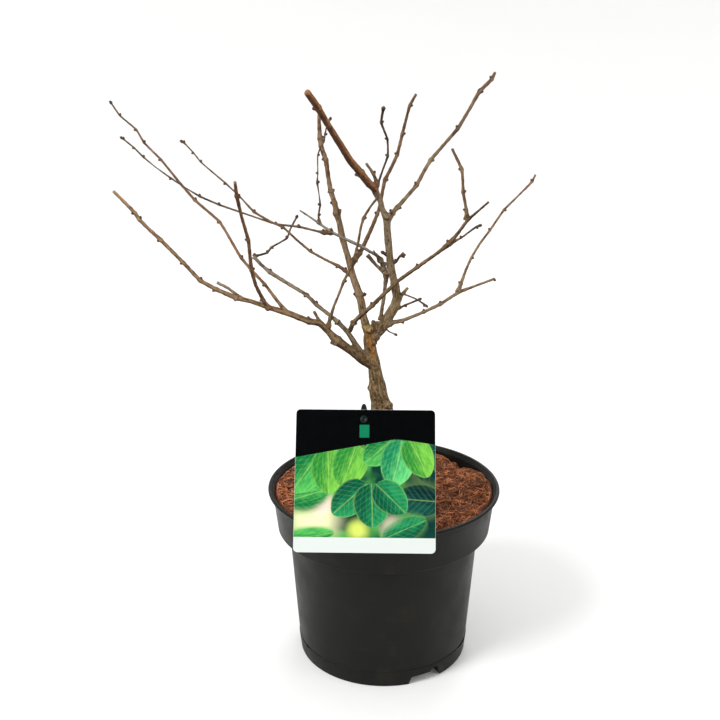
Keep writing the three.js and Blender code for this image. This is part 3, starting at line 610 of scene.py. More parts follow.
    "spurRight": [(6, 6, 401, 2.7), (10, 4, 404, 2.4, "R"), (14, 1, 410, 2.4), (17, 0, 411, 4.8, "T")],
    "spurIn": [(3, 5, 409, 2.5), (-3, 3, 413, 2.9, "T")],
    "spurCentre": [(-25, 6, 370, 2.8), (-19, 4, 372, 3.1, "T")],
}
print(len(LIMBS), "limbs and", sum(len(row) > 4 for rows in LIMBS.values() for row in rows), "buds")

# %% [markdown]
# ## Bark colours
# Old wood is grey-olive and young shoots are brown to orange-brown, with every step between. Each limb
# has a colour at its root and one at its tip, as they are on the light side of the real limb.

# %% Name the barks and say which limb has which
BARK = {
    "moss": rgb(84, 64, 38), "olive": rgb(98, 78, 50), "grey": rgb(121, 100, 76), "ash": rgb(128, 116, 100),
    "tan": rgb(132, 98, 70), "sand": rgb(160, 126, 94), "brown": rgb(94, 66, 44), "rust": rgb(138, 90, 54),
    "russet": rgb(118, 82, 52), "dark": rgb(56, 36, 26), "purple": rgb(84, 64, 54),
    "pale": rgb(150, 146, 138), "amber": rgb(120, 76, 16), "callus": rgb(160, 134, 80),
    "scar": rgb(50, 30, 22), "cut": rgb(140, 106, 72),
}
LIMB_BARK = {
    "leftLow": ("moss", "sand"), "leftFront": ("russet", "russet"), "leftLong": ("tan", "brown"),
    "leftLowStub": ("grey", "ash"), "centreLeft": ("grey", "brown"), "frontCut": ("rust", "rust"),
    "crownStub": ("purple", "grey"), "centreRight": ("olive", "ash"), "rightStub": ("grey", "grey"),
    "rightHigh": ("grey", "brown"), "backRight": ("brown", "brown"), "topTwig": ("purple", "dark"),
    "rightLow": ("grey", "grey"), "rightLowLong": ("grey", "tan"), "leftMid": ("olive", "ash"),
    "leftMidTwig": ("purple", "purple"), "frontRight": ("olive", "brown"), "frontRightUp": ("moss", "brown"),
    "frontRightBud": ("brown", "dark"), "frontTwig": ("olive", "brown"), "backGrey": ("olive", "pale"),
    "backGreyStub": ("grey", "purple"), "backLong": ("brown", "dark"), "leftBack": ("tan", "brown"),
    "thinUp": ("purple", "dark"), "lowTwig": ("dark", "dark"), "sideTwigA": ("dark", "dark"),
    "sideTwigB": ("brown", "dark"), "spurRight": ("brown", "dark"), "spurIn": ("brown", "dark"),
}


def limb_color(name, share):
    """The bark's colour at a share of the limb's length."""
    root, tip = (np.array(BARK[key][:3]) for key in LIMB_BARK.get(name, ("olive", "brown")))
    return root + (tip - root) * np.asarray(share)[..., None]


# %% Lay a soft route through a limb's points
RING_STEP = 1.3 * MM  # from one ring of a thin limb to the next
BEND = 0.35  # how soft a bend is: 0 is a kink, 1 a long curve


def soft_route(rows, step):
    """Points along a limb, with its radius and distance from the root, and where the rows' points lie."""
    knots = np.array([row[:3] for row in rows], float) * MM
    radius = np.array([row[3] for row in rows], float) * MM / 2
    spans = np.diff(knots, axis=0)
    lengths = np.linalg.norm(spans, axis=1)
    ways = spans / lengths[:, None]
    tangents = np.vstack([ways[:1], ways[:-1] + ways[1:], ways[-1:]])
    tangents /= np.linalg.norm(tangents, axis=1)[:, None]
    points, sizes, marks = [], [], []
    for i, length in enumerate(lengths):
        count = max(2, math.ceil(length / step))
        t = np.linspace(0, 1, count, endpoint=False)[:, None]
        start = ways[i] + (tangents[i] - ways[i]) * BEND
        end = ways[i] + (tangents[i + 1] - ways[i]) * BEND
        curve = (knots[i] * (2 * t**3 - 3 * t**2 + 1) + start * length * (t**3 - 2 * t**2 + t)
                 + knots[i + 1] * (3 * t**2 - 2 * t**3) + end * length * (t**3 - t**2))
        marks.append(len(points))
        points.extend(curve)
        sizes.extend((radius[i] + (radius[i + 1] - radius[i]) * (3 * t**2 - 2 * t**3))[:, 0])
    marks.append(len(points))
    points.append(knots[-1])
    sizes.append(radius[-1])
    points = np.array(points)
    distance = np.concatenate([[0], np.cumsum(np.linalg.norm(np.diff(points, axis=0), axis=1))])
    return points, np.array(sizes), distance, marks


def frames_along(points):
    """At each point the way along, and two ways across that don't twist."""
    along = np.gradient(points, axis=0)
    along /= np.linalg.norm(along, axis=1)[:, None]
    across = np.zeros_like(points)
    side = np.array([1.0, 0, 0]) if abs(along[0][0]) < 0.9 else np.array([0, 1.0, 0])
    for i, way in enumerate(along):
        side = side - way * side.dot(way)
        side /= np.linalg.norm(side)
        across[i] = side
    return along, across, np.cross(along, across)


# %% [markdown]
# ## The wood
# Thick wood and thin shoots need different ways. A fork of old wood flows from limb to limb, so the trunk
# and the thick part of each limb are joined by a voxel remesh and then smoothed. Shoots are too thin for
# that and stay tubes, each with a collar where it leaves its parent and a swelling at each bud. Every point
# keeps three facts for the bark's finish: its colour, and how far along and round its limb it is.

# %% Build a limb as rings
OLD_WOOD = 4.4  # a limb this thick belongs to the old wood, in mm
OLD_RINGS = {"step": 2 * MM, "sides": 20}
OLD_SHARE = 0.55  # how much of a limb's change of colour lies on its old wood
GRAIN_STEP = 0.4  # sets the grain of each limb apart from the next one's, in metres
SWELL = {"share": 0.26, "reach": 1.6 * MM}
COLLAR = {"share": 0.5, "reach": 2.6 * MM}


def tube(points, radii, sides):
    """Ring points and faces of a tube with open ends."""
    _, across, other = frames_along(points)
    turns = np.linspace(0, 2 * math.pi, sides, endpoint=False)
    ring = np.cos(turns)[None, :, None] * across[:, None] + np.sin(turns)[None, :, None] * other[:, None]
    verts = (points[:, None] + ring * radii[:, :, None]).reshape(-1, 3)
    return verts, bands(stacked(len(points), sides))


def swollen(radius, distance, marks, rows):
    """The radius with a swelling at each bud."""
    grown = radius.copy()
    for mark, row in zip(marks, rows):
        if len(row) > 4:
            near = np.exp(-(((distance - distance[mark]) / SWELL["reach"]) ** 2))
            grown *= 1 + SWELL["share"] * near
    return grown


def old_rows(rows):
    """How many of a limb's rows, from its root, are old wood."""
    count = 0
    while count < len(rows) and rows[count][3] >= OLD_WOOD:
        count += 1
    return count if count > 1 else 0


# %% Join the old wood into one skin
KNOBS = [  # lumps on the trunk and the forks: x, y, z and radius in mm
    (-15, -4, 340, 4.6), (-19, -3, 342, 3.4), (-9, -2, 341, 4.4), (-5, -3, 338, 4.2), (-8, -4, 332, 4),
    (-10, -4, 327, 3.2), (-7, -2, 345, 2.8), (-11, -1, 346, 2.4), (-2, -4, 341, 2.6), (-13, 1, 279, 3.6),
    (-9, 4, 252, 5.2), (9, 0, 240, 4.4), (5, -2, 262, 4),
    (10, -3, 227, 4.2), (9, 2, 218, 6), (12, 8, 372, 3.4), (-45, 21, 447, 3.6), (1, 2, 447, 3.8),
    (-11, 2, 476, 3.2), (1, 11, 391, 3.2), (-1, 10, 400, 2.6),
]
VOXEL = 0.75 * MM


def old_wood_skin():
    """The old wood as one mesh, and the routes of its limbs."""
    points, faces, routes = [], [], []

    def take(verts, new_faces):
        base = len(points)
        points.extend(verts)
        faces.extend([tuple(base + i for i in face) for face in new_faces])

    def take_tube(route, radius, sides):
        verts, quads = tube(route, np.repeat(radius[:, None], sides, axis=1), sides)
        last = len(verts) - sides
        take(verts, quads + [tuple(range(sides))[::-1], tuple(range(last, last + sides))])

    for name, rows in [("trunk", TRUNK), *LIMBS.items()]:
        count = old_rows(rows)
        if not count:
            continue
        route, radius, distance, marks = soft_route(rows[:count], OLD_RINGS["step"])
        routes.append((name, route, radius, distance))
        take_tube(route, swollen(radius, distance, marks, rows[:count]), OLD_RINGS["sides"])
    knob = bmesh.new()
    bmesh.ops.create_icosphere(knob, subdivisions=2, radius=1)
    for x, y, z, size in KNOBS:
        verts = [(np.array(v.co) * size + (x, y, z)) * MM for v in knob.verts]
        take(verts, [tuple(v.index for v in f.verts) for f in knob.faces])
    knob.free()
    skin = new_object("old_wood", points, faces)
    remesh = skin.modifiers.new("join", "REMESH")
    remesh.mode = "VOXEL"
    remesh.voxel_size = VOXEL
    soften = skin.modifiers.new("soften", "SMOOTH")
    soften.factor = 0.5
    soften.iterations = 4
    return baked(skin), routes


old_wood, wood_routes = old_wood_skin()
print("old wood", len(old_wood.data.vertices), "points from", len(wood_routes), "routes")


# %% Find for each point of the old wood where it is on its limb
def nearest_on_routes(verts):
    """For each point its colour, and its grain: two ways across the limb and one along it, in metres."""
    columns = []
    for number, (name, route, radius, distance) in enumerate(wood_routes):
        _, across, other = frames_along(route)
        color = (np.tile(BARK["olive"][:3], (len(route), 1)) if name == "trunk"
                 else limb_color(name, distance / distance[-1] * OLD_SHARE))
        columns.append((route, radius, distance + number * GRAIN_STEP, color, across, other))
    centres, radii, along, colors, across, other = (np.concatenate(column) for column in zip(*columns))
    grain, tint = np.empty_like(verts), np.empty_like(verts)
    batch = 4000
    for start in range(0, len(verts), batch):
        some = slice(start, start + batch)
        gaps = np.linalg.norm(verts[some, None] - centres[None], axis=2) - radii[None]
        best = gaps.argmin(axis=1)
        out = verts[some] - centres[best]
        grain[some, 0] = np.einsum("ij,ij->i", out, across[best])
        grain[some, 1] = np.einsum("ij,ij->i", out, other[best])
        grain[some, 2] = along[best]
        tint[some] = colors[best]
    return tint, grain


# %% Raise the bark
MARKS = [  # patches of another colour: the bark's name, the patch's strength, and points x, y, z, reach in mm
    ("amber", 0.95, [(-15, -6, 334, 3.2), (-13, -7, 326, 3.8), (-11, -7, 316, 3.4), (-8, -7, 306, 2.4),
                     (-5, -7, 296, 1.6), (-2, -6, 287, 1.1), (0, -7, 280, 0.8)]),
    ("callus", 0.9, [(-20, -5, 341, 3), (-15, -7, 341, 3.4)]),
    ("scar", 0.75, [(-8, -8, 338, 3), (-5, -8, 334, 3.4), (-8, -8, 330, 3), (-3, -7, 340, 2.6)]),
    ("scar", 0.9, [(-17, -6, 320, 1), (-15, -7, 313, 1.1), (-12, -8, 306, 1.2), (-9, -8, 298, 1.1),
                   (-5, -8, 289, 0.9)]),
    ("dark", 0.85, [(1, -9, 276, 1.4), (3, -10, 270, 1.8), (5, -10, 265, 1.6)]),
    ("dark", 0.6, [(9, -7, 236, 3), (10, -8, 226, 3.4), (12, -6, 219, 3.4)]),
]


def bumps(grain):
    """Bark relief at each point, in metres, from noise stretched along the grain."""
    heights = np.empty(len(grain))
    for i, (x, y, z) in enumerate(grain):
        size = min(math.hypot(x, y) / (10 * MM), 1)
        coarse = noise.fractal(Vector((x * 260, y * 260, z * 95)), 0.8, 2.1, 4)
        plates = noise.noise(Vector((x * 520, y * 520, z * 330)))
        heights[i] = (0.35 * coarse + 0.22 * plates) * (0.35 + size) * MM
    return heights


def paint(verts, tint):
    """Blends the named patches into the bark's colour."""
    for bark, strength, spots in MARKS:
        fine = [(a + (b - a) * t) for a, b in zip(np.array(spots, float)[:-1], np.array(spots, float)[1:])
                for t in np.linspace(0, 1, 6)]
        cover = np.zeros(len(verts))
        for x, y, z, reach in fine:
            gap = np.linalg.norm(verts - np.array((x, y, z)) * MM, axis=1)
            cover = np.maximum(cover, np.clip(1.6 - gap / (reach * MM), 0, 1))
        cover = (cover * strength)[:, None]
        tint[:] = tint * (1 - cover) + np.array(BARK[bark][:3]) * cover


def store(obj, tint, grain):
    """Keeps the colour and the grain on the mesh, where the bark's material reads them."""
    keep(obj, "tint", "FLOAT_COLOR", np.column_stack([tint, np.ones(len(tint))]))
    keep(obj, "grain", "FLOAT_VECTOR", grain)


def dress_old_wood():
    verts = read(old_wood, "co")
    tint, grain = nearest_on_routes(verts)
    raised = verts + read(old_wood, "normal") * bumps(grain)[:, None]
    old_wood.data.vertices.foreach_set("co", raised.ravel())
    paint(raised, tint)
    store(old_wood, tint, grain)


dress_old_wood()
print("bark raised on", len(old_wood.data.vertices), "points")


# %% Build the shoots
def shoots():
    """All thin limbs as one mesh, with cut or pointed ends, and the buds' places."""
    points, faces, tints, grains, buds = [], [], [], [], []
    for number, (name, rows) in enumerate(LIMBS.items()):
        start = old_rows(rows)
        route, radius, distance, marks = soft_route(rows, RING_STEP)
        along, across, _ = frames_along(route)
        for mark, row in zip(marks, rows):
            if len(row) > 4:
                buds.append((route[mark], along[mark], radius[mark], row[4]))
        if start == len(rows):
            continue
        first = marks[start - 1] if start else 0
        radius = swollen(radius, distance, marks, rows)
        if start:
            radius[first:] *= 1 + 0.2 * np.exp(-((distance[first:] - distance[first]) / SWELL["reach"]) ** 2)
        else:
            radius *= 1 + COLLAR["share"] * np.exp(-((distance - radius[0]) / COLLAR["reach"]).clip(0) ** 1.5)
        span = slice(first, None)
        sides = 12 if radius[span].max() > 1.6 * MM else 9
        turns = np.linspace(0, 2 * math.pi, sides, endpoint=False)
        length = distance[span]
        wobble = (0.05 * np.sin(2 * turns[None] + 700 * length[:, None] + number)
                  + 0.04 * np.sin(3 * turns[None] - 1100 * length[:, None])
                  + 0.03 * np.sin(2300 * length[:, None] + 2 * number))
        verts, quads = tube(route[span], radius[span, None] * (1 + wobble), sides)
        base = len(points)
        points.extend(verts)
        faces.extend(tuple(base + i for i in face) for face in quads)
        share = np.repeat(length / distance[-1], sides)
        tints.extend(limb_color(name, share))
        around = np.tile(np.column_stack([np.cos(turns), np.sin(turns)]), (len(length), 1))
        grains.extend(np.column_stack([around * np.repeat(radius[span], sides)[:, None],
                                       np.repeat(length + 9 + GRAIN_STEP * number, sides)]))
        faces.append(tuple(range(base, base + sides))[::-1])
        last = len(points) - sides
        if rows[-1][-1] == "T":
            faces.append(tuple(range(last, last + sides)))
            continue
        rim = verts[-sides:] + (route[-1] - verts[-sides:]) * 0.12 + along[-1] * 0.12 * MM
        lip = len(points)
        points.extend(rim)
        faces.extend((last + k, last + (k + 1) % sides, lip + (k + 1) % sides, lip + k) for k in range(sides))
        tints.extend([np.array(BARK["brown"][:3])] * sides)
        grains.extend(grains[-sides:])
        end = len(points)
        points.extend(rim)
        tints.extend([np.array(BARK["cut"][:3])] * sides)
        grains.extend(grains[-sides:])
        faces.append(tuple(range(end, end + sides)))
    obj = new_object("shoots", points, faces)
    store(obj, np.array(tints), np.array(grains))
    return obj, buds


shoot_mesh, bud_places = shoots()
print("shoots", len(shoot_mesh.data.vertices), "points and", len(bud_places), "buds")

# %% [markdown]
# ## Bark finish
# The colour that was kept on each point is only a start. Real bark is mottled: grey lichen-like skin over
# brown, thin cracks that run along the limb, small pale pores, and light and dark flecks on thick wood. All
# are noise stretched by the grain that was kept on the points, so they follow every bend. On top of these,
# the bark is darkened where it faces down: a painted shade for the underside of each limb.

# %% Mix the bark
def bark():
    wood = Finish("bark", 0.75, 0.15)
    grain = wood.attribute("grain")
    tint = wood.attribute("tint", "Color")
    cloud = wood.noise(grain, 160, 5, 0.65, stretch=(1, 1, 0.5))
    color = wood.mix(wood.ramp(cloud, 0.42, 0.72, 0, 0.75), tint,
                     wood.mix(0.55, tint, rgb(158, 138, 112)))
    shade = wood.noise(grain, 420, 4, 0.6, stretch=(1, 1, 0.35))
    color = wood.shaded(wood.ramp(shade, 0.52, 0.35, 0, 0.8), color, rgb(120, 98, 82))
    cracks = wood.noise(grain, 900, 3, 0.6, stretch=(1, 1, 0.16))
    color = wood.shaded(wood.ramp(cracks, 0.45, 0.3, 0, 0.75), color, rgb(92, 68, 54))
    radius = wood.vector("LENGTH", wood.vector("MULTIPLY", grain, (1, 1, 0)))
    thick = wood.ramp(radius, 0.002, 0.009, 0.15, 0.6)
    flecks = wood.noise(grain, 520, 3, 0.6, stretch=(1, 1, 0.6))
    color = wood.mix(wood.math("MULTIPLY", wood.ramp(flecks, 0.52, 0.62), thick), color, rgb(158, 130, 94))
    color = wood.mix(wood.math("MULTIPLY", wood.ramp(flecks, 0.47, 0.38), thick), color, rgb(48, 34, 22))
    pores = wood.add("ShaderNodeTexVoronoi", {"Vector": grain, "Scale": 620.0}).outputs["Distance"]
    color = wood.mix(wood.ramp(pores, 0.2, 0.1, 0, 0.35), color, rgb(176, 154, 122))
    # Painted shade: the bark is darkened where it faces down, standing in for the shade under each limb.
    upward = wood.axes(wood.add("ShaderNodeNewGeometry").outputs["Normal"])["Z"]
    color = wood.shaded(wood.ramp(upward, 0.1, -0.75), color, rgb(130, 118, 108))
    height = wood.math("ADD", cracks, wood.math("MULTIPLY", shade, 0.6))
    normal = wood.bump(height, 0.6, 0.0007)
    return wood.finish(color, wood.ramp(cloud, 0.3, 0.7, 0.68, 0.85), normal)


bark_finish = bark()
for obj, name in ((old_wood, "old_wood"), (shoot_mesh, "young_shoots")):
    cover(obj, bark_finish)
    obj.name = name
    smooth(obj, 60)
    hang(obj, "tree")

# %% [markdown]
# ## The label's stake and card
# The card is a die-cut plastic plate that leans back from the rim, held by a round peg on the stake behind
# it. Its frame is worked out from the rim: the card's back rests on the bead at a lean of 30 degrees.

# %% Work out the card's frame
CARD = {"width": 128, "height": 130, "thick": 0.8, "corner": 4, "lean": 30, "off_centre": -17, "below": 13}
PEG = {"u": -1.7, "v": 121, "hole": 2.4, "shaft": 2, "head": 3.6, "head_height": 1.2}
STAKE = {"width": 6, "thick": 2.4, "tip": 135.5, "head_bottom": 78, "foot": 96, "foot_depth": -72,
         "point": 16}
GAP = 0.3
CARD_EDGE = 0.12  # radius of the card's cut edge
lean = math.radians(CARD["lean"])
card_up = Vector((0, math.sin(lean), math.cos(lean)))
card_out = Vector((0, -math.cos(lean), math.sin(lean)))
card_foot = (Vector((CARD["off_centre"], POT["bead"] - POT["rim"], POT["height"] - POT["bead"]))
             + card_out * (POT["bead"] + GAP) - card_up * CARD["below"])
card_frame = Matrix.Translation(card_foot * MM) @ Matrix(
    ((1, card_up.x, card_out.x), (0, card_up.y, card_out.y), (0, card_up.z, card_out.z))).to_4x4()
print("card's foot at", [round(v, 1) for v in card_foot])


# %% Cut the card with its rounded corners and its hole
def card_outline():
    width, height, corner = CARD["width"] / 2, CARD["height"], CARD["corner"]
    corners = [(width - corner, height - corner, 0), (corner - width, height - corner, 90),
               (corner - width, corner, 180), (width - corner, corner, 270)]
    return [p for x, y, turn in corners for p in arc((x, y), corner, turn, turn + 90, 8)]


def make_card():
    drawing = bpy.data.curves.new("card", "CURVE")
    drawing.dimensions = "2D"
    drawing.fill_mode = "BOTH"
    for outline in (card_outline(), arc((PEG["u"], PEG["v"]), PEG["hole"], 0, 345, 23)):
        spline = drawing.splines.new("POLY")
        spline.points.add(len(outline) - 1)
        for point, (x, y) in zip(spline.points, outline):
            point.co = (x, y, 0, 1)
        spline.use_cyclic_u = True
    drawing.bevel_depth = CARD_EDGE
    drawing.bevel_resolution = 1
    drawing.offset = -CARD_EDGE
    drawing.extrude = CARD["thick"] / 2 - CARD_EDGE
    flat_card = bpy.data.objects.new("card_drawing", drawing)
    scene.collection.objects.link(flat_card)
    card = baked(flat_card, "picture_card")
    card.data.transform(card_frame @ Matrix.Scale(MM, 4) @ Matrix.Translation((0, 0, CARD["thick"] / 2)))
    layer = card.data.uv_layers.new(name="print")
    flat = (card_frame @ Matrix.Scale(MM, 4)).inverted()
    for loop in card.data.loops:
        place = flat @ card.data.vertices[loop.vertex_index].co
        layer.data[loop.index].uv = (place.x, place.y)
    return card


# %% [markdown]
# ## The card's print
# A black band above, a photograph of foliage and a white strip below. The picture is a design made for
# this card: oval leaves in front of a blurred garden. Each leaf is one node group that measures how far a
# spot of the card is along and across the leaf, so its edge stays sharp at any size.

# %% Build one leaf as a node group
LEAF_SOCKETS = (("Under", "NodeSocketColor"), ("Spot", "NodeSocketVector"), ("Base", "NodeSocketVector"),
                ("Turn", "NodeSocketFloat"), ("Length", "NodeSocketFloat"), ("Width", "NodeSocketFloat"),
                ("Light", "NodeSocketColor"), ("Deep", "NodeSocketColor"), ("Blur", "NodeSocketFloat"))


def leaf_group():
    group = bpy.data.node_groups.new("leaf", "ShaderNodeTree")
    for name, kind in LEAF_SOCKETS:
        group.interface.new_socket(name, in_out="INPUT", socket_type=kind)
    group.interface.new_socket("Color", in_out="OUTPUT", socket_type="NodeSocketColor")
    inside = group.nodes.new("NodeGroupInput").outputs
    tool = Nodes(group)
    toward = tool.vector("SUBTRACT", inside["Spot"], inside["Base"])
    turned_spot = tool.add("ShaderNodeVectorRotate", {"Vector": toward, "Angle": inside["Turn"]},
                           rotation_type="Z_AXIS", invert=True)
    axes = tool.axes(turned_spot.outputs[0])
    along = tool.math("DIVIDE", axes["X"], inside["Length"])
    across = tool.math("DIVIDE", axes["Y"], inside["Width"])
    away = tool.math("ABSOLUTE", across)
    shape = tool.add("ShaderNodeFloatCurve", {"Value": along})
    curve = shape.mapping.curves[0]
    for spot, height in ((0.03, 0.3), (0.16, 0.8), (0.4, 1.0), (0.68, 0.86), (0.9, 0.46)):
        curve.points.new(spot, height)
    curve.points[0].location = (0, 0)
    curve.points[-1].location = (1, 0)
    shape.mapping.update()
    room = tool.math("SUBTRACT", shape.outputs[0], away)
    inside_leaf = tool.ramp(room, tool.math("MULTIPLY", inside["Blur"], -1.0), inside["Blur"])
    inside_leaf = tool.math("MULTIPLY", inside_leaf, tool.ramp(along, 0.0, 0.02))
    inside_leaf = tool.math("MULTIPLY", inside_leaf, tool.ramp(along, 1.0, 0.98))
    streaks = tool.noise(turned_spot.outputs[0], 0.5, 3, 0.55, stretch=(0.18, 1, 1))
    fold = tool.ramp(across, -0.5, 0.5, -0.1, 0.6)
    tone = tool.math("ADD", fold, tool.math("MULTIPLY", along, 0.35))
    tone = tool.math("ADD", tone, tool.ramp(streaks, 0.3, 0.7, -0.3, 0.3))
    blade = tool.mix(tone, inside["Deep"], inside["Light"])
    slope = tool.math("SUBTRACT", along, tool.math("MULTIPLY", away, 0.3))
    ribs = tool.math("SINE", tool.math("MULTIPLY", slope, 50.0))
    blade = tool.mix(tool.ramp(ribs, 0.5, 1.0, 0, 0.05), blade, rgb(190, 226, 120))
    blade = tool.mix(tool.ramp(away, 0.05, 0.02, 0, 0.22), blade, rgb(190, 226, 120))
    blade = tool.mix(tool.ramp(room, 0.12, 0.02, 0, 0.2), blade, rgb(176, 222, 110))
    out = tool.mix(inside_leaf, inside["Under"], blade)
    tool.tree.links.new(out, group.nodes.new("NodeGroupOutput").inputs[0])
    return group


# %% Print the card
LEAF_GREENS = {
    "lime": (rgb(118, 190, 70), rgb(36, 124, 50)), "fresh": (rgb(80, 178, 84), rgb(14, 104, 54)),
    "cool": (rgb(96, 198, 116), rgb(20, 118, 76)), "deep": (rgb(34, 142, 84), rgb(4, 76, 54)),
    "teal": (rgb(18, 80, 68), rgb(3, 36, 40)),
}
LEAVES = (  # base on the card (mm from its middle and its foot), turn in degrees, length, width, greens, blur
    (-72, 74, -14, 50, 20, "cool", 0.35), (-70, 46, 16, 40, 15, "fresh", 0.4),
    (44, 100, -52, 52, 18, "teal", 0.6), (70, 46, 176, 44, 15, "teal", 0.6),
    (16, 12, 24, 44, 11, "deep", 0.6),
    (-72, 10, 10, 46, 9, "fresh", 0.3), (0, 108, -30, 44, 16, "teal", 0.3),
    (-14, 98, -160, 50, 17, "cool", 0.05), (-42, 90, -124, 44, 16, "fresh", 0.04),
    (-34, 94, -88, 42, 16, "lime", 0.04), (-8, 98, -108, 42, 16, "lime", 0.04),
    (26, 104, -138, 36, 13, "fresh", 0.05), (34, 102, -102, 44, 16, "cool", 0.04),
    (40, 104, -64, 40, 14, "lime", 0.05), (2, 62, -138, 42, 15, "deep", 0.03),
    (6, 62, -88, 40, 17, "deep", 0.03), (10, 62, -44, 38, 14, "deep", 0.04),
)
GLOWS = (  # soft lights in the garden: middle, reach and colour
    ((-46, 30), 34.0, rgb(226, 226, 176)), ((-40, 44), 16.0, rgb(232, 206, 196)),
    ((26, 22), 16.0, rgb(214, 196, 176)), ((-6, 20), 14.0, rgb(196, 210, 96)),
)
BAND = ((-64, 85.5), (29, 103), (64, 98))  # the black band's lower edge
STRIP_TOP = 13.5
TICKET = {"left": -5.5, "right": 3.6, "low": 104, "high": 116}


def glow(ink, spot, under, middle, reach, color):
    """A soft round light in the blurred garden."""
    away = ink.vector("DISTANCE", spot, (*middle, 0))
    return ink.mix(ink.ramp(away, reach, reach * 0.2), under, color)


def picture(ink, spot):
    """A blurred garden with the leaves in front of it."""
    soft = ink.noise(spot, 0.05, 2, 0.4)
    color = ink.mix(ink.ramp(soft, 0.42, 0.62), rgb(6, 54, 44), rgb(70, 150, 70))
    for middle, reach, light in GLOWS:
        color = glow(ink, spot, color, middle, reach, light)
    color = ink.mix(ink.ramp(ink.axes(spot)["X"], 22.0, 48.0, 0, 0.92), color, rgb(4, 46, 46))
    leaf = leaf_group()
    for u, v, turn, length, width, greens, blur in LEAVES:
        light, deep = LEAF_GREENS[greens]
        values = {"Under": color, "Spot": spot, "Base": (u, v, 0), "Turn": math.radians(turn),
                  "Length": float(length), "Width": float(width), "Light": light, "Deep": deep, "Blur": blur}
        node = ink.add("ShaderNodeGroup", node_tree=leaf)
        for name, value in values.items():
            ink.put(value, node.inputs[name])
        color = node.outputs[0]
    return color


def below_line(ink, axes, start, end):
    """How far a spot is under the line through two points."""
    slope = (end[1] - start[1]) / (end[0] - start[0])
    line = ink.math("ADD", ink.math("MULTIPLY", axes["X"], slope), start[1] - slope * start[0])
    return ink.math("SUBTRACT", line, axes["Y"])


def card_print():
    ink = Finish("card_print", 0.4, 0.03)
    spot = ink.add("ShaderNodeUVMap", uv_map="print").outputs[0]
    axes = ink.axes(spot)
    color = picture(ink, spot)
    below = ink.math("MINIMUM", below_line(ink, axes, *BAND[:2]), below_line(ink, axes, *BAND[1:]))
    color = ink.mix(ink.ramp(below, 0.15, -0.15), color, rgb(1, 2, 3))
    sides = [ink.ramp(axes["X"], TICKET["left"], TICKET["left"] + 0.2),
             ink.ramp(axes["X"], TICKET["right"], TICKET["right"] - 0.2),
             ink.ramp(axes["Y"], TICKET["low"], TICKET["low"] + 0.2),
             ink.ramp(axes["Y"], TICKET["high"], TICKET["high"] - 0.2)]
    inside = sides[0]
    for side in sides[1:]:
        inside = ink.math("MULTIPLY", inside, side)
    color = ink.mix(inside, color, rgb(14, 112, 76))
    color = ink.mix(ink.ramp(axes["Y"], STRIP_TOP + 0.15, STRIP_TOP - 0.15), color, rgb(202, 208, 204))
    rough = ink.ramp(ink.noise(spot, 0.12, 3), 0.3, 0.7, 0.3, 0.42)
    return ink.finish(color, rough, ink.bump(ink.noise(spot, 1.4, 2), 0.05, 0.0002))


def card_back():
    plain = Finish("card_back", 0.45, 0.4)
    mottle = plain.noise(plain.place(), 70, 4)
    color = plain.mix(mottle, rgb(226, 229, 224), rgb(240, 242, 238))
    return plain.finish(color, None, plain.bump(mottle, 0.05, 0.0004))


card = make_card()
cover(card, card_back(), card_print())
for face in card.data.polygons:
    face.material_index = int(face.normal.dot(card_out) > 0.99)
smooth(card, 30)
hang(card, "label_card")

# %% [markdown]
# ## The stake
# A strip of green-black plastic with a pointed top, bent where the card ends and pushed into the coir. A
# rib runs down its back to keep it stiff. The strip is swept along its bent line, and the peg is turned.

# %% Sweep the stake and turn its peg
def stake_line():
    """The middle of the stake from its tip to its buried foot, with the way that its front faces."""
    depth = -GAP - STAKE["thick"] / 2
    top, bend = (card_foot + card_up * v + card_out * depth for v in (STAKE["tip"], STAKE["head_bottom"]))
    foot = Vector((card_foot.x, STAKE["foot_depth"], STAKE["foot"]))
    down = (foot - bend).normalized()
    soft = [bend + card_up * 4, bend + card_up * 1.2 + down * 0.4, bend + down * 3]
    return [top, top - card_up * 1.2, top - card_up * 5, top - card_up * 24, *soft,
            bend + down * 30, foot - down * STAKE["point"], foot]


def make_stake():
    line = stake_line()
    half, thick = STAKE["width"] / 2, STAKE["thick"] / 2
    widths = [0.3, 0.66, 1, 1, 1, 1, 1, 1, 1, 0.1]
    section = [(-1, 0.3), (-0.86, 1), (0.86, 1), (1, 0.3), (1, -0.3), (0.86, -0.55), (0.22, -0.55),
               (0.14, -1), (-0.14, -1), (-0.22, -0.55), (-0.86, -0.55), (-1, -0.3)]
    points = []
    for i, (centre, width) in enumerate(zip(line, widths)):
        way = (line[max(i - 1, 0)] - line[min(i + 1, len(line) - 1)]).normalized()
        out = Vector((1, 0, 0)).cross(way)
        for x, y in section:
            points.append((centre + Vector((PEG["u"] + x * half * width, 0, 0)) + out * y * thick) * MM)
    rings = stacked(len(line), len(section))
    stake = new_object("stake", points, bands(rings) + [rings[0][::-1], rings[-1]])
    head = PEG["head"]
    top = CARD["thick"] + GAP
    profile = [(0, -GAP - thick), (PEG["shaft"], -GAP - thick), (PEG["shaft"], top - GAP),
               (head - 0.3, top - GAP), *arc((head - 0.35, top + 0.1), 0.35, -60, 60, 4),
               (head * 0.74, top + PEG["head_height"] * 0.92), (head * 0.62, top + PEG["head_height"]),
               (head * 0.4, top + PEG["head_height"] * 0.72), (0, top + PEG["head_height"] * 0.66)]
    peg = turned("peg", profile, 40)
    peg.data.transform(card_frame @ Matrix.Translation((PEG["u"] * MM, PEG["v"] * MM, 0)))
    for obj in (stake, peg):
        face_outwards(obj)
    boolean(stake, "UNION", [peg])
    return stake


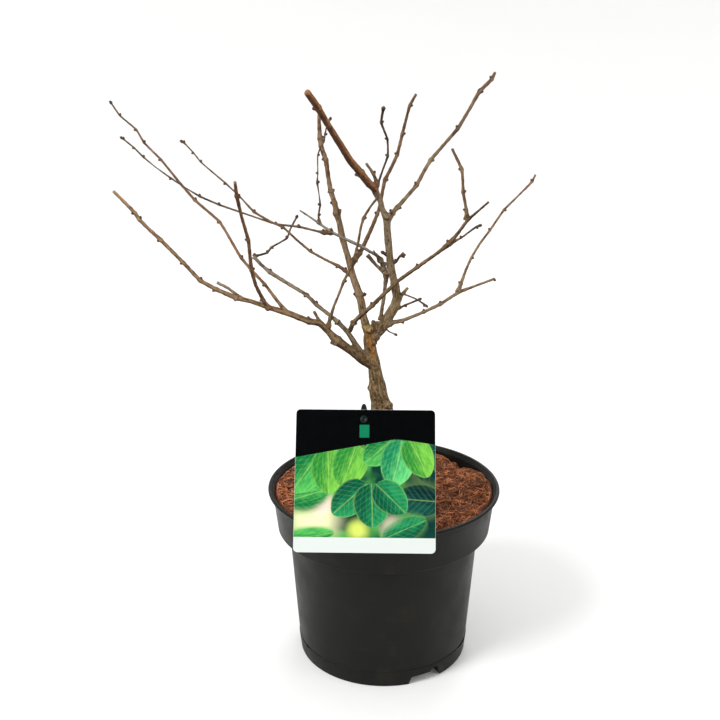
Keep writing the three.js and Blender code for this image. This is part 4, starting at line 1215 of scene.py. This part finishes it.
def stake_plastic():
    plastic = Finish("stake_plastic", 0.3, 0.15)
    cloudy = plastic.noise(plastic.place(), 120, 4)
    color = plastic.mix(cloudy, rgb(4, 14, 12), rgb(10, 26, 22))
    return plastic.finish(color, plastic.ramp(cloudy, 0.3, 0.7, 0.26, 0.4),
                          plastic.bump(plastic.noise(plastic.place(), 1200, 2), 0.1, 0.0002))


stake = make_stake()
cover(stake, stake_plastic())
stake.name = "label_peg_and_stake"
smooth(stake, 35)
hang(stake, "label_stake")

# %% [markdown]
# ## Coir
# The mix is shredded coconut husk: crumbs, flat flakes and springy strands of every length that lie as
# they fell. The bed is one relief that fills the pot. The loose bits are four scatters over it by
# Geometry Nodes, because thousands of strands follow a rule that no one would set by hand.

# %% Raise the bed of crumbs
SOIL_LEVEL = 170
BED_FOOT = 30  # the bed's plain underside, in mm
BED_RINGS = 96
BED_SIDES = 240
WALL_GAP = 0.3
HOLLOWS = ((64, 10, 5, 7), (91, 4, 5, 6), (100, -5, 4, 6), (84, 68, 13, 7))  # x, y, reach and depth in mm


def soil_height(x, y):
    """The part's own heaps and crumbs, in mm."""
    r = math.hypot(x, y)
    heap = 3 * math.exp(-(r * r) / 900) + 3.5 * (x / 100) ** 2 - 1.5 * (y / 100)
    crumbs = (math.sin(0.31 * x + 0.17 * y) * math.cos(0.23 * y - 0.12 * x)
              + 0.7 * math.sin(0.57 * x - 0.49 * y + 1.3) + 0.5 * math.cos(0.83 * y + 0.36 * x))
    return SOIL_LEVEL + heap + 0.8 * crumbs
def bed_height(x, y):
    """The crumbs again, with finer clods and a few hollows between them."""
    spot = Vector((x, y, 0))
    clods = noise.fractal(spot * 0.16, 0.9, 2.2, 4)
    hollows = max(noise.noise(spot * 0.09 + Vector((7, 3, 1))) - 0.2, 0)
    pits = sum(depth * math.exp(-((x - u) ** 2 + (y - v) ** 2) / reach**2) for u, v, reach, depth in HOLLOWS)
    return soil_height(x, y) + 1.3 * clods - 7 * hollows - pits


def make_bed():
    inside = pot_inside(POT["height"])
    foot, *under = [(r - WALL_GAP, h) for r, h in inside[6:9]]
    lip = inside[9][0] - WALL_GAP - 0.4
    points = [(x, y, height) for radius, height in ((0, BED_FOOT), (foot[0], BED_FOOT), *under)
              for x, y in circle(radius, BED_SIDES)]
    for i in range(BED_RINGS + 1):
        spots = circle(lip * (1 - i / BED_RINGS) + 0.01, BED_SIDES)
        points.extend((x, y, bed_height(x, y)) for x, y in spots)
    faces = bands(stacked(len(points) // BED_SIDES, BED_SIDES))
    bed = new_object("coir_bed", [(x * MM, y * MM, z * MM) for x, y, z in points], faces)
    rework(bed, lambda bm: bmesh.ops.remove_doubles(bm, verts=bm.verts, dist=0.00003))
    return bed


def coir(name, light, dark, grain_scale):
    """Coir's finish: every strand has its own shade, kept on it as it was laid."""
    fibre = Finish(name, 0.85, 0.2)
    place = fibre.place()
    shade = fibre.attribute("shade", "Fac")
    clod = fibre.noise(place, 55, 4, 0.6)
    color = fibre.mix(fibre.math("POWER", shade, 1.5), dark, light)
    color = fibre.mix(fibre.ramp(clod, 0.5, 0.3, 0, 0.6), color, rgb(40, 18, 12))
    fine = fibre.noise(place, grain_scale, 4, 0.7)
    color = fibre.mix(fibre.ramp(fine, 0.4, 0.7, 0, 0.35), color, rgb(196, 132, 96))
    return fibre.finish(color, None, fibre.bump(fine, 0.6, 0.0006))


bed = make_bed()
cover(bed, coir("coir_crumb", rgb(104, 54, 32), rgb(60, 30, 18), 900))
keep(bed, "shade", "FLOAT", [0.5 + 0.5 * noise.noise(Vector(p) * 0.35) for p in read(bed, "co") / MM])
smooth(bed)
print("bed of coir", len(bed.data.vertices), "points")


# %% Make the tree of nodes that scatters bits over the bed
BED_FLOOR = 0.15  # the bed's loose top is all above this height, in metres
SETTLED = 0.75  # how far strands sink onto the ground under them
STRAND_POINTS = 6


class Recipe(Nodes):
    """A Geometry Nodes tree with named inputs, built from left to right."""

    def __init__(self, name, sizes):
        super().__init__(bpy.data.node_groups.new(name, "GeometryNodeTree"))
        face = self.tree.interface
        face.new_socket("Geometry", in_out="INPUT", socket_type="NodeSocketGeometry")
        for label, (kind, value) in sizes.items():
            socket = face.new_socket(label, in_out="INPUT", socket_type=kind)
            if value is not None:
                socket.default_value = value
        face.new_socket("Geometry", in_out="OUTPUT", socket_type="NodeSocketGeometry")
        self.inputs = self.tree.nodes.new("NodeGroupInput").outputs
        self.end = self.tree.nodes.new("NodeGroupOutput").inputs[0]

    def random(self, low, high, seed, kind="FLOAT"):
        first, output = {"FLOAT": (2, 1), "FLOAT_VECTOR": (0, 0)}[kind]
        values = {first: low, first + 1: high, 8: seed}
        return self.add("FunctionNodeRandomValue", values, data_type=kind).outputs[output]

    def named(self, name, kind="FLOAT"):
        return self.add("GeometryNodeInputNamedAttribute", {"Name": name}, data_type=kind).outputs[0]

    def position(self):
        return self.add("GeometryNodeInputPosition").outputs[0]

    def angles(self, **turns):
        """Turns about X, Y and Z as one rotation."""
        values = {"XYZ".index(axis): turn for axis, turn in turns.items()}
        return self.add("ShaderNodeCombineXYZ", values).outputs[0]

    def real(self, geometry):
        return self.add("GeometryNodeRealizeInstances", {0: geometry}).outputs[0]

    def moved(self, geometry, **where):
        return self.add("GeometryNodeSetPosition", {"Geometry": geometry, **where}).outputs[0]

    def pushed(self, geometry, swirl, reach):
        """The geometry with its points pushed about by a coloured noise."""
        push = self.vector("SUBTRACT", swirl.outputs["Color"], (0.5, 0.5, 0.5))
        return self.moved(geometry, Offset=self.vector("SCALE", push, scale=reach))

    def laid(self, density, seed):
        """Points over the bed's top, well above its plain underside."""
        height = self.axes(self.position())["Z"]
        top = self.add("FunctionNodeCompare", {0: height, 1: BED_FLOOR}, operation="GREATER_THAN").outputs[0]
        spread = self.add("GeometryNodeDistributePointsOnFaces", {
            "Mesh": self.inputs["Geometry"], "Selection": top, "Density": density, "Seed": seed})
        return spread.outputs["Points"]

    def copies(self, points, instance, angles, size):
        """One copy at each point, with a shade of its own."""
        placed = self.add("GeometryNodeInstanceOnPoints", {
            "Points": points, "Instance": instance, "Rotation": angles, "Scale": size}).outputs[0]
        return self.add("GeometryNodeStoreNamedAttribute", {
            "Geometry": placed, "Name": "shade", "Value": self.random(0.0, 1.0, 13)},
            data_type="FLOAT", domain="INSTANCE").outputs[0]

    def inside_wall(self, wall):
        """Each point's place, drawn in towards the middle where it would reach through the pot's wall."""
        place = self.position()
        reach = self.vector("LENGTH", self.vector("MULTIPLY", place, (1, 1, 0)))
        share = self.math("MINIMUM", self.math("DIVIDE", wall, reach), 1.0)
        shrink = self.add("ShaderNodeCombineXYZ", {0: share, 1: share, 2: 1.0}).outputs[0]
        return self.vector("MULTIPLY", place, shrink)

    def settle(self, curves, ground, lift, wall):
        """Draws strands most of the way down to the ground under them."""
        place = self.inside_wall(wall)
        above = self.vector("ADD", place, (0, 0, 0.05))
        down = self.add("GeometryNodeRaycast", {"Target Geometry": ground, "Source Position": above,
                                                "Ray Direction": (0, 0, -1), "Ray Length": 0.2})
        landed = self.vector("ADD", down.outputs["Hit Position"],
                             self.add("ShaderNodeCombineXYZ", {2: lift}).outputs[0])
        mixed = self.add("ShaderNodeMix", {0: SETTLED, 4: place, 5: landed}, data_type="VECTOR").outputs[1]
        chosen = self.add("GeometryNodeSwitch", {"Switch": down.outputs["Is Hit"], "False": place,
                                                 "True": mixed}, input_type="VECTOR").outputs[0]
        return self.moved(curves, Position=chosen)

    def close(self, geometry, material):
        done = self.add("GeometryNodeSetMaterial", {"Geometry": self.real(geometry), "Material": material})
        self.tree.links.new(done.outputs[0], self.end)

    def run(self, carrier, name, **values):
        """Runs the tree on a copy of the carrier and gives the result as a plain mesh."""
        made = carrier.copy()
        made.data = carrier.data.copy()
        made.name = name
        scene.collection.objects.link(made)
        step = made.modifiers.new("recipe", "NODES")
        step.node_group = self.tree
        for item in self.tree.interface.items_tree:
            if item.in_out == "INPUT" and item.name in values:
                step[item.identifier] = values[item.name]
        return baked(made)


# %% Lay strands of husk over the bed
def strands_recipe():
    """Thin strands, each with its own length and bends, that lie on the bed and stay inside the wall."""
    recipe = Recipe("strands", {
        "Strands per m2": ("NodeSocketFloat", 1000.0), "Shortest": ("NodeSocketFloat", 0.005),
        "Longest": ("NodeSocketFloat", 0.02), "Thickness": ("NodeSocketFloat", 0.0005),
        "Lean": ("NodeSocketFloat", 0.3), "Curl": ("NodeSocketFloat", 0.004),
        "Lift": ("NodeSocketFloat", 0.0003), "Wall": ("NodeSocketFloat", 0.1),
        "Seed": ("NodeSocketInt", 1), "Material": ("NodeSocketMaterial", None),
    })
    sizes = recipe.inputs
    laid = recipe.laid(sizes["Strands per m2"], sizes["Seed"])
    line = recipe.add("GeometryNodeCurvePrimitiveLine", {"Start": (-0.5, 0, 0), "End": (0.5, 0, 0)})
    line = recipe.add("GeometryNodeResampleCurve", {"Curve": line.outputs[0], "Count": STRAND_POINTS})
    angles = recipe.angles(Y=recipe.random(recipe.math("MULTIPLY", sizes["Lean"], -1.0), sizes["Lean"], 3),
                           Z=recipe.random(0.0, 2 * math.pi, 5))
    length = recipe.random(sizes["Shortest"], sizes["Longest"], 7)
    curves = recipe.real(recipe.copies(laid, line.outputs[0], angles, length))
    own = recipe.math("MULTIPLY", recipe.named("shade"), 50.0)
    swirl = recipe.add("ShaderNodeTexNoise", {"Vector": recipe.position(), "W": own, "Scale": 90.0,
                                              "Detail": 1.0}, noise_dimensions="4D")
    bent = recipe.pushed(curves, swirl, recipe.math("MULTIPLY", sizes["Curl"], 2.0))
    bent = recipe.settle(bent, sizes["Geometry"], sizes["Lift"], sizes["Wall"])
    tip = recipe.add("GeometryNodeSplineParameter").outputs["Factor"]
    arch = recipe.math("SUBTRACT", 1.0, recipe.math("POWER", recipe.math("ABSOLUTE", recipe.math(
        "SUBTRACT", recipe.math("MULTIPLY", tip, 2.0), 1.0)), 4.0))
    body = recipe.math("ADD", recipe.math("MULTIPLY", arch, 0.75), 0.25)
    girth = recipe.math("MULTIPLY", sizes["Thickness"], recipe.math("MULTIPLY", body, 0.5))
    outline = recipe.add("GeometryNodeCurvePrimitiveCircle", {"Resolution": 3, "Radius": 1.0}).outputs[0]
    mesh = recipe.add("GeometryNodeCurveToMesh", {
        "Curve": bent, "Profile Curve": outline, "Scale": girth, "Fill Caps": True})
    recipe.close(mesh.outputs[0], sizes["Material"])
    return recipe


# %% Scatter crumbs and flakes
def crumbs_recipe():
    """Lumps or flat flakes of husk, each with its own size and a broken surface."""
    recipe = Recipe("crumbs", {
        "Crumbs per m2": ("NodeSocketFloat", 1000.0), "Smallest": ("NodeSocketVector", None),
        "Largest": ("NodeSocketVector", None), "Lean": ("NodeSocketFloat", 0.4),
        "Rough": ("NodeSocketFloat", 0.001), "Wall": ("NodeSocketFloat", 0.1),
        "Seed": ("NodeSocketInt", 1), "Material": ("NodeSocketMaterial", None),
    })
    sizes = recipe.inputs
    laid = recipe.laid(sizes["Crumbs per m2"], sizes["Seed"])
    ball = recipe.add("GeometryNodeMeshIcoSphere", {"Radius": 0.5, "Subdivisions": 2}).outputs[0]
    low = recipe.math("MULTIPLY", sizes["Lean"], -1.0)
    angles = recipe.angles(X=recipe.random(low, sizes["Lean"], 3), Y=recipe.random(low, sizes["Lean"], 9),
                           Z=recipe.random(0.0, 2 * math.pi, 5))
    size = recipe.random(sizes["Smallest"], sizes["Largest"], 7, "FLOAT_VECTOR")
    lumps = recipe.real(recipe.copies(laid, ball, angles, size))
    broken = recipe.add("ShaderNodeTexNoise", {"Vector": recipe.position(), "Scale": 420.0, "Detail": 2.0})
    rough = recipe.pushed(lumps, broken, sizes["Rough"])
    kept = recipe.moved(rough, Position=recipe.inside_wall(sizes["Wall"]))
    recipe.close(kept, sizes["Material"])
    return recipe


# %% Cover the bed
COIR_WALL = (POT["collar_top_radius"] - POT["wall"] - 2.6) * MM
husk = coir("coir_strand", rgb(232, 150, 98), rgb(74, 32, 16), 700)
flake = coir("coir_flake", rgb(156, 88, 54), rgb(44, 20, 12), 600)
lay_strands, lay_crumbs = strands_recipe(), crumbs_recipe()
COVERS = (  # name, recipe, sizes
    ("coir_short_strands", lay_strands, {
        "Strands per m2": 76000.0, "Shortest": 0.005, "Longest": 0.014, "Thickness": 0.001,
        "Lean": 0.7, "Curl": 0.003, "Lift": 0.0006, "Seed": 4, "Material": husk}),
    ("coir_long_strands", lay_strands, {
        "Strands per m2": 18000.0, "Shortest": 0.012, "Longest": 0.03, "Thickness": 0.0009,
        "Lean": 0.25, "Curl": 0.006, "Lift": 0.001, "Seed": 9, "Material": husk}),
    ("coir_crumbs", lay_crumbs, {
        "Crumbs per m2": 22000.0, "Smallest": (0.0015, 0.0012, 0.0008), "Largest": (0.005, 0.0035, 0.0025),
        "Lean": 0.8, "Rough": 0.0022, "Seed": 2, "Material": flake}),
    ("coir_flakes", lay_crumbs, {
        "Crumbs per m2": 3600.0, "Smallest": (0.006, 0.002, 0.0006), "Largest": (0.015, 0.0045, 0.0012),
        "Lean": 0.3, "Rough": 0.0014, "Seed": 6, "Material": flake}),
)
hang(bed, "soil")
for name, recipe, sizes in COVERS:
    hang(recipe.run(bed, name, Wall=COIR_WALL, **sizes), "soil")

# %% [markdown]
# ## Buds
# A dwarf ginkgo's bud is a blunt cone of overlapping scales on a low cushion, one at each bend. One bud is
# turned with a step for each scale, and Geometry Nodes set a copy at each place that the limbs kept,
# leaning out and forward along the shoot.

# %% Turn one bud
def bud_shape():
    profile = [(0, -0.5), (0.66, -0.5), (0.74, -0.16), (0.68, 0.06), (0.72, 0.13), (0.68, 0.36), (0.57, 0.46),
               (0.6, 0.53), (0.5, 0.76), (0.38, 0.84), (0.38, 0.9), (0.22, 1.04), (0, 1.1)]
    bud = turned("one_bud", [(r * 1000, h * 1000) for r, h in profile], 9)
    for vertex in bud.data.vertices:
        angle = math.atan2(vertex.co.y, vertex.co.x)
        swell = 1 + 0.08 * math.sin(3 * angle + 5 * vertex.co.z)
        vertex.co.x *= swell
        vertex.co.y *= swell * 0.88
    return bud


def buds_recipe():
    recipe = Recipe("buds", {"Bud": ("NodeSocketObject", None), "Material": ("NodeSocketMaterial", None)})
    angles = recipe.add("FunctionNodeAlignRotationToVector", {"Vector": recipe.named("way", "FLOAT_VECTOR")},
                        axis="Z").outputs[0]
    shape = recipe.add("GeometryNodeObjectInfo", {0: recipe.inputs["Bud"]}).outputs["Geometry"]
    placed = recipe.copies(recipe.inputs["Geometry"], shape, angles, recipe.named("size"))
    recipe.close(placed, recipe.inputs["Material"])
    return recipe


def bud_finish():
    scale = Finish("bud_scales", 0.6, 0.35)
    place = scale.place()
    shade = scale.attribute("shade", "Fac")
    color = scale.mix(shade, rgb(42, 26, 20), rgb(80, 52, 36))
    mottle = scale.noise(place, 700, 4)
    color = scale.mix(scale.ramp(mottle, 0.5, 0.7, 0, 0.5), color, rgb(108, 82, 62))
    return scale.finish(color, None, scale.bump(mottle, 0.5, 0.0004))


# %% Set the buds
BUD = {"least": 1.35, "growth": 0.5, "tip": 1.15}  # size in mm, more for each mm of radius, times at a tip
BUD_SEAT = {"lean": 0.5, "side": 0.7, "tip": 0.9}  # how far it leans forward, and where its cushion sits


def bud_points():
    places, ways, sizes = [], [], []
    for place, along, radius, side in bud_places:
        if side == "T":
            way = along
            place = place - along * BUD_SEAT["tip"] * MM
        else:
            out = np.cross(along, (0, 1, 0))
            out /= np.linalg.norm(out)
            way = out * (1 if side == "R" else -1) + along * BUD_SEAT["lean"]
            place = place + way / np.linalg.norm(way) * radius * BUD_SEAT["side"]
        places.append(place)
        ways.append(way)
        grown = BUD["least"] + BUD["growth"] * radius / MM
        sizes.append(grown * (BUD["tip"] if side == "T" else 1) * MM)
    points = new_object("bud_places", places, [])
    keep(points, "way", "FLOAT_VECTOR", ways)
    keep(points, "size", "FLOAT", sizes)
    return points


one_bud = bud_shape()
bud_spots = bud_points()
buds = buds_recipe().run(bud_spots, "buds", Bud=one_bud, Material=bud_finish())
smooth(buds, 50)
hang(buds, "tree")
remove(one_bud, bud_spots)

# %% [markdown]
# The fine surfaces are meant to stay as large as the part. A helper rounds a box's corners to five places.

# %% Round a box's corners
def plain(box):
    return [[round(value, 5) for value in corner] for corner in box]
